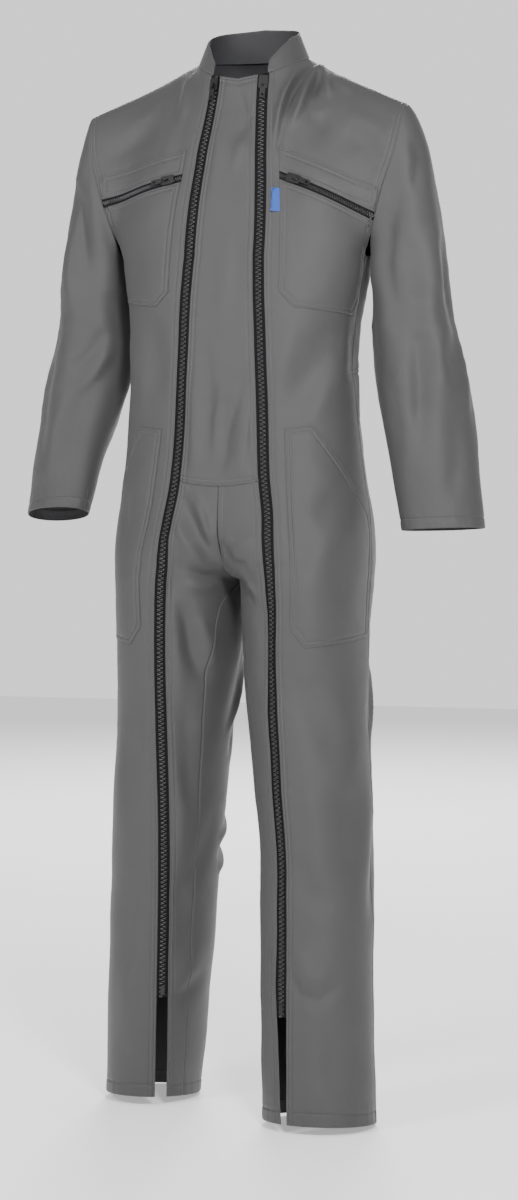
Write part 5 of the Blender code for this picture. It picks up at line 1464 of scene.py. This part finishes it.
def make_chest_pocket(side, hand, plane, cloth):
    corner = {name: plane.flat(chest_corner(side, at)) for name, at in CHEST_POCKET.items()}
    corner["low_outer"] = plane.flat(chest_corner(side, CHEST_LOW_OUTER[side]))

    def across_pocket(inset):
        """The ends of a line across the pocket, this far below the top of the zip's opening."""
        line = [plane.flat(chest_corner(side, (across, height - inset)))
                for across, height in (CHEST_ZIP_INNER, CHEST_ZIP_OUTER)]
        return (crossing(*line, corner["low_inner"], corner["top_inner"]),
                crossing(*line, corner["low_outer"], corner["top_outer"]))

    top_inner, top_outer = across_pocket(-CHEST_EDGE_GAP)
    low_inner, low_outer = across_pocket(CHEST_ZIP_BAND + CHEST_EDGE_GAP)
    above = [corner["top_inner"], corner["top_outer"], top_outer, top_inner]
    below = [low_inner, low_outer, corner["low_outer"], corner["chamfer_outer"],
             corner["chamfer_inner"], corner["low_inner"]]
    make_pocket(f"chest_pocket_top_{hand}", plane, cloth, above, 1.0 + side, range(4))
    make_pocket(f"chest_pocket_bottom_{hand}", plane, cloth, below, 4.0 + side, range(6))
    top, low = across_pocket(-CHEST_TAPE_LAP), across_pocket(CHEST_ZIP_BAND + CHEST_TAPE_LAP)
    drape_patch(f"chest_zip_{hand}", "zip_tape", plane, [*top, *low[::-1]], (),
                lambda place, distances: TAPE_RISE, TAPE_WALL, "tape")
    points, out = plane.drape_line((top[0] + low[0]) / 2, (top[1] + low[1]) / 2, 40)
    add_teeth(f"chest_teeth_{hand}", points + out * TAPE_RISE, out, sizes().chest_tooth_pitch,
              sizes().chest_tooth_width, PATCH_TEETH)


def make_hip_pocket(side, hand, plane, cloth):
    corners = [plane.flat(on_side_front(side, at)) for at in HIP_POCKET]
    make_pocket(f"hip_pocket_{hand}", plane, cloth, corners, 7.0 + side, HIP_SEWN, HIP_GAPE)


def make_label(plane):
    top, low = plane.flat(chest_corner(LEFT, LABEL_TOP)), plane.flat(chest_corner(LEFT, LABEL_LOW))
    free, tucked = Vector((-LABEL_WIDTH, 0)), Vector((LABEL_TUCK, 0))
    corners = [top + tucked, low + tucked, low + free, top + free]
    drape_patch("label_tab", "label_weave", plane, corners, LABEL_LINES,
                lambda place, distances: LABEL_RISE + LABEL_CURL * (distances[0] / LABEL_WIDTH) ** 2,
                LABEL_WALL, "label")


# ---- zips ----
TAPE_COLUMNS = np.array((-14.0, -12.5, -10, -8, -6.4, -5.2, -4.2, -3.2, -2.0, 0,
                         2.0, 3.2, 4.2, 5.2, 6.4, 8, 10, 12.5, 14.0)) * MM
CORD_PLACE, CORD_WIDTH, CORD_HEIGHT = 0.0046, 0.0007, 0.0003    # the cord woven in beside the teeth
FRONT_TAPE_WALL, FRONT_TEETH, FRONT_ZIP_ROWS = 0.0009, 0.0022, 330
ZIP_REACH = 0.4              # how far across the cloth the tape is looked for, as a share
# A tooth as shares of its pitch, width and height: its length along the chain, its head's length,
# the slope of its flanks, its width at the top, and how far its middle lies out and up.
TOOTH_LENGTH, TOOTH_HEAD, TOOTH_SLOPE, TOOTH_TOP, TOOTH_OUT, TOOTH_UP = 1.50, 0.30, 0.34, 0.84, 0.22, 0.30


def tooth_shape(width, pitch, height):
    """One moulded tooth: a wedge from its root on the tape to a narrow head, with sloping flanks."""
    tooth = bmesh.new()
    bmesh.ops.create_cube(tooth, size=1.0,
                          matrix=Matrix.Diagonal((width, pitch * TOOTH_LENGTH, height, 1.0)))
    for face in tooth.faces:
        # The flanks take the second finish, painted pale as a highlight.
        face.material_index = int(abs(face.normal.y) > 0.9)
    for vert in tooth.verts:
        head = TOOTH_HEAD if vert.co.x > 0 else 1.0
        vert.co.y *= head
        if vert.co.z > 0:
            vert.co.y -= (TOOTH_SLOPE if vert.co.y > 0 else -TOOTH_SLOPE) * pitch * head
            vert.co.x *= TOOTH_TOP
    return tooth


def add_teeth(name, points, out, pitch, width, height):
    """Two rows of teeth that lock along a line, as one mesh."""
    place, along, away = spread_along(points, out, pitch)
    hand = np.where(np.arange(len(place)) % 2 == 0, 1.0, -1.0)[:, None]
    across = unit(np.cross(along, away)) * hand
    place = place - across * width * TOOTH_OUT + away * height * TOOTH_UP
    # A tooth's own +X points from root to head, so the rows face each other.
    # The second finish paints the flanks paler, as a highlight.
    small_parts(name, "zip_tape", place, np.cross(away, across), away, tooth_shape(width, pitch, height),
                "moulded", "rubbed")


def make_front_zip(side, hand):
    levels = np.linspace(SLIT_TOP - ARMPIT - 0.004, UPPER_LENGTH * 0.998, FRONT_ZIP_ROWS)

    def targets_of(lengths):
        return lengths[:, lengths.shape[1] // 2][:, None] + TAPE_COLUMNS[None, :]

    face = measured_rows(partial(front_cloth, side), levels, -ZIP_REACH, ZIP_REACH, targets_of)
    centre = (0, -0.03)
    sheet = make_sheet(face, centre)
    cord = CORD_HEIGHT * bell(np.abs(TAPE_COLUMNS) - CORD_PLACE, CORD_WIDTH)
    relief = fold_relief(face, sheet.out) + soft_relief(face) - TAPE_DEPTH + cord
    tape = make_sheet(face + sheet.out * relief[..., None], centre)
    name = f"front_zip_{hand}"
    piece = show(name + "_tape", grid_mesh(name, tape), "tape")
    give_thickness(piece, FRONT_TAPE_WALL, False)
    declare_draped(piece, name)
    middle = len(TAPE_COLUMNS) // 2
    add_teeth(f"front_teeth_{hand}", tape.points[:, middle], tape.out[:, middle], sizes().tooth_pitch,
              sizes().tooth_width, FRONT_TEETH)


# ---- operators ----
class SUIT_OT_body(bpy.types.Operator):
    """Make the bib, side fronts, inner legs, back and back legs"""
    bl_idname = "suit.body"
    bl_label = "Make Body and Legs"

    def execute(self, context):
        make_bib()
        make_back_body()
        for side, hand in SIDES:
            make_side_front(side, hand)
            make_inner_leg(side, hand)
            make_back_leg(side, hand)
        return {"FINISHED"}


class SUIT_OT_sleeves(bpy.types.Operator):
    """Make both sleeves with their turned hems"""
    bl_idname = "suit.sleeves"
    bl_label = "Make Sleeves"

    def execute(self, context):
        for side, hand in SIDES:
            make_sleeve(side, hand)
        return {"FINISHED"}


class SUIT_OT_collar(bpy.types.Operator):
    """Make the folded stand collar"""
    bl_idname = "suit.collar"
    bl_label = "Make Collar"

    def execute(self, context):
        make_collar()
        return {"FINISHED"}


class SUIT_OT_pockets(bpy.types.Operator):
    """Make the chest and hip pockets, the chest zips and the label"""
    bl_idname = "suit.pockets"
    bl_label = "Make Pockets and Label"

    def execute(self, context):
        for side, hand in SIDES:
            cloth = bpy.data.objects[f"side_front_{hand}_cloth"].data
            plane = PatchPlane(side, cloth)
            make_chest_pocket(side, hand, plane, cloth)
            make_hip_pocket(side, hand, plane, cloth)
            if side == LEFT:
                make_label(plane)
        return {"FINISHED"}


class SUIT_OT_zips(bpy.types.Operator):
    """Make the long zips: tape and moulded teeth"""
    bl_idname = "suit.zips"
    bl_label = "Make Long Zips"

    def execute(self, context):
        for side, hand in SIDES:
            make_front_zip(side, hand)
        return {"FINISHED"}


class SUIT_OT_hardware(bpy.types.Operator):
    """Finish the sliders, pull tabs and zip stops"""
    bl_idname = "suit.hardware"
    bl_label = "Finish Hardware"

    # What each kind of casting is made of, and how round its edges are
    castings = {"slider_": ("zinc", 0.00028), "pull_": ("zinc", 0.00028), "zip_end_": ("moulded", 0.0004)}

    def execute(self, context):
        for name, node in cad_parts.items():
            for kind, (material, rounding) in self.castings.items():
                if name.startswith(kind):
                    self.soften(node, rounding, material)
        return {"FINISHED"}

    def soften(self, node, width, name):
        """Round a casting's edges a little and give it its finish."""
        weld = node.modifiers.new("weld", "WELD")
        weld.merge_threshold = 0.000005
        edge = node.modifiers.new("edges", "BEVEL")
        edge.width = width
        edge.segments = 2
        edge.limit_method = "ANGLE"
        edge.angle_limit = radians(40)
        for slot in node.material_slots:
            slot.material = finish(name)


class SUIT_OT_sewing(bpy.types.Operator):
    """Sew the noted rows of stitches"""
    bl_idname = "suit.sewing"
    bl_label = "Sew"

    def execute(self, context):
        size = sizes()
        runs = [spread_along(points, out, size.stitch_pitch) for points, out in SEWING]
        place, along, out = (np.concatenate([run[k] for run in runs]) for k in range(3))
        place = place + out * THREAD_LIFT
        half = (len(place) + 1) // 2
        for number, part in ((1, slice(0, half)), (2, slice(half, None))):
            stitch = bmesh.new()
            scale = Matrix.Diagonal((size.thread_width, size.stitch_length, size.thread_width * 0.8, 1.0))
            bmesh.ops.create_icosphere(stitch, subdivisions=1, radius=0.5, matrix=scale)
            small_parts(f"topstitching_{number}", "twill", place[part], along[part], out[part], stitch,
                        "thread")
        return {"FINISHED"}


class SUIT_OT_stage(bpy.types.Operator):
    """Set up the floor, lights and camera"""
    bl_idname = "suit.stage"
    bl_label = "Set Up Stage"

    def execute(self, context):
        self.add_floor()
        for light in LIGHTS:
            self.add_light(*light)
        self.add_room()
        self.add_camera(context.scene)
        return {"FINISHED"}

    def add_floor(self):
        floor = bmesh.new()
        bmesh.ops.create_grid(floor, x_segments=8, y_segments=8, size=FLOOR_REACH)
        bmesh.ops.translate(floor, verts=floor.verts, vec=(0, 0, SOLID_BOX[0][2] - FLOOR_GAP))
        mesh = bpy.data.meshes.new("studio_floor")
        floor.to_mesh(mesh)
        floor.free()
        show("studio_floor", mesh, "floor")

    def add_light(self, name, place, target, size, power):
        light = bpy.data.lights.new(name, "AREA")
        light.shape = "DISK"
        light.size = size
        light.energy = power
        item = bpy.data.objects.new(name, light)
        item.location = place
        item.rotation_euler = (Vector(target) - Vector(place)).to_track_quat("-Z", "Y").to_euler()
        bpy.context.scene.collection.objects.link(item)

    def add_room(self):
        """A white backdrop behind the suit, in a dimmer room."""
        world = bpy.data.worlds.new("studio")
        world.use_nodes = True
        tree, backdrop = world.node_tree, world.node_tree.nodes["Background"]
        way = add_node(tree, "ShaderNodeTexCoord")
        parts = add_node(tree, "ShaderNodeSeparateXYZ", {0: way.outputs["Generated"]})
        light = add_node(tree, "ShaderNodeMapRange",
                         {0: parts.outputs["Y"], 1: ROOM_END, 2: BACKDROP_START,
                          3: ROOM_LIGHT, 4: BACKDROP_LIGHT},
                         interpolation_type="SMOOTHSTEP")
        tree.links.new(light.outputs[0], backdrop.inputs["Strength"])
        backdrop.inputs["Color"].default_value = (1, 1, 1, 1)
        bpy.context.scene.world = world

    def add_camera(self, scene):
        lens = bpy.data.cameras.new("camera")
        lens.sensor_fit = "VERTICAL"
        lens.sensor_height = CAMERA_FILM
        lens.lens = CAMERA_LENS
        lens.shift_x, lens.shift_y = CAMERA_SHIFT
        camera = bpy.data.objects.new("camera", lens)
        camera.location = (CAMERA_DISTANCE * sin(CAMERA_TURN), -CAMERA_DISTANCE * cos(CAMERA_TURN),
                           CAMERA_HEIGHT)
        camera.rotation_euler = (QUARTER, 0, CAMERA_TURN)
        scene.collection.objects.link(camera)
        scene.camera = camera


OPERATORS = (SUIT_OT_body, SUIT_OT_sleeves, SUIT_OT_collar, SUIT_OT_pockets, SUIT_OT_zips,
             SUIT_OT_hardware, SUIT_OT_sewing, SUIT_OT_stage)


class SUIT_PT_panel(bpy.types.Panel):
    """The boiler suit's operators and settings"""
    bl_idname = "SUIT_PT_panel"
    bl_label = "Boiler Suit"
    bl_space_type = "VIEW_3D"
    bl_region_type = "UI"
    bl_category = "Boiler Suit"

    def draw(self, context):
        for operator in OPERATORS:
            self.layout.operator(operator.bl_idname)
        for group in (context.scene.suit_colours, context.scene.suit_sizes):
            for name in group.__annotations__:
                self.layout.prop(group, name)


CLASSES = (SuitColours, SuitSizes, *OPERATORS, SUIT_PT_panel)


def register():
    for item in CLASSES:
        bpy.utils.register_class(item)
    bpy.types.Scene.suit_colours = PointerProperty(type=SuitColours)
    bpy.types.Scene.suit_sizes = PointerProperty(type=SuitSizes)


def unregister():
    del bpy.types.Scene.suit_sizes
    del bpy.types.Scene.suit_colours
    for item in reversed(CLASSES):
        bpy.utils.unregister_class(item)


def main():
    register()
    for operator in OPERATORS:
        getattr(bpy.ops.suit, operator.bl_idname.split(".")[1])()


if __name__ == "__main__":
    main()
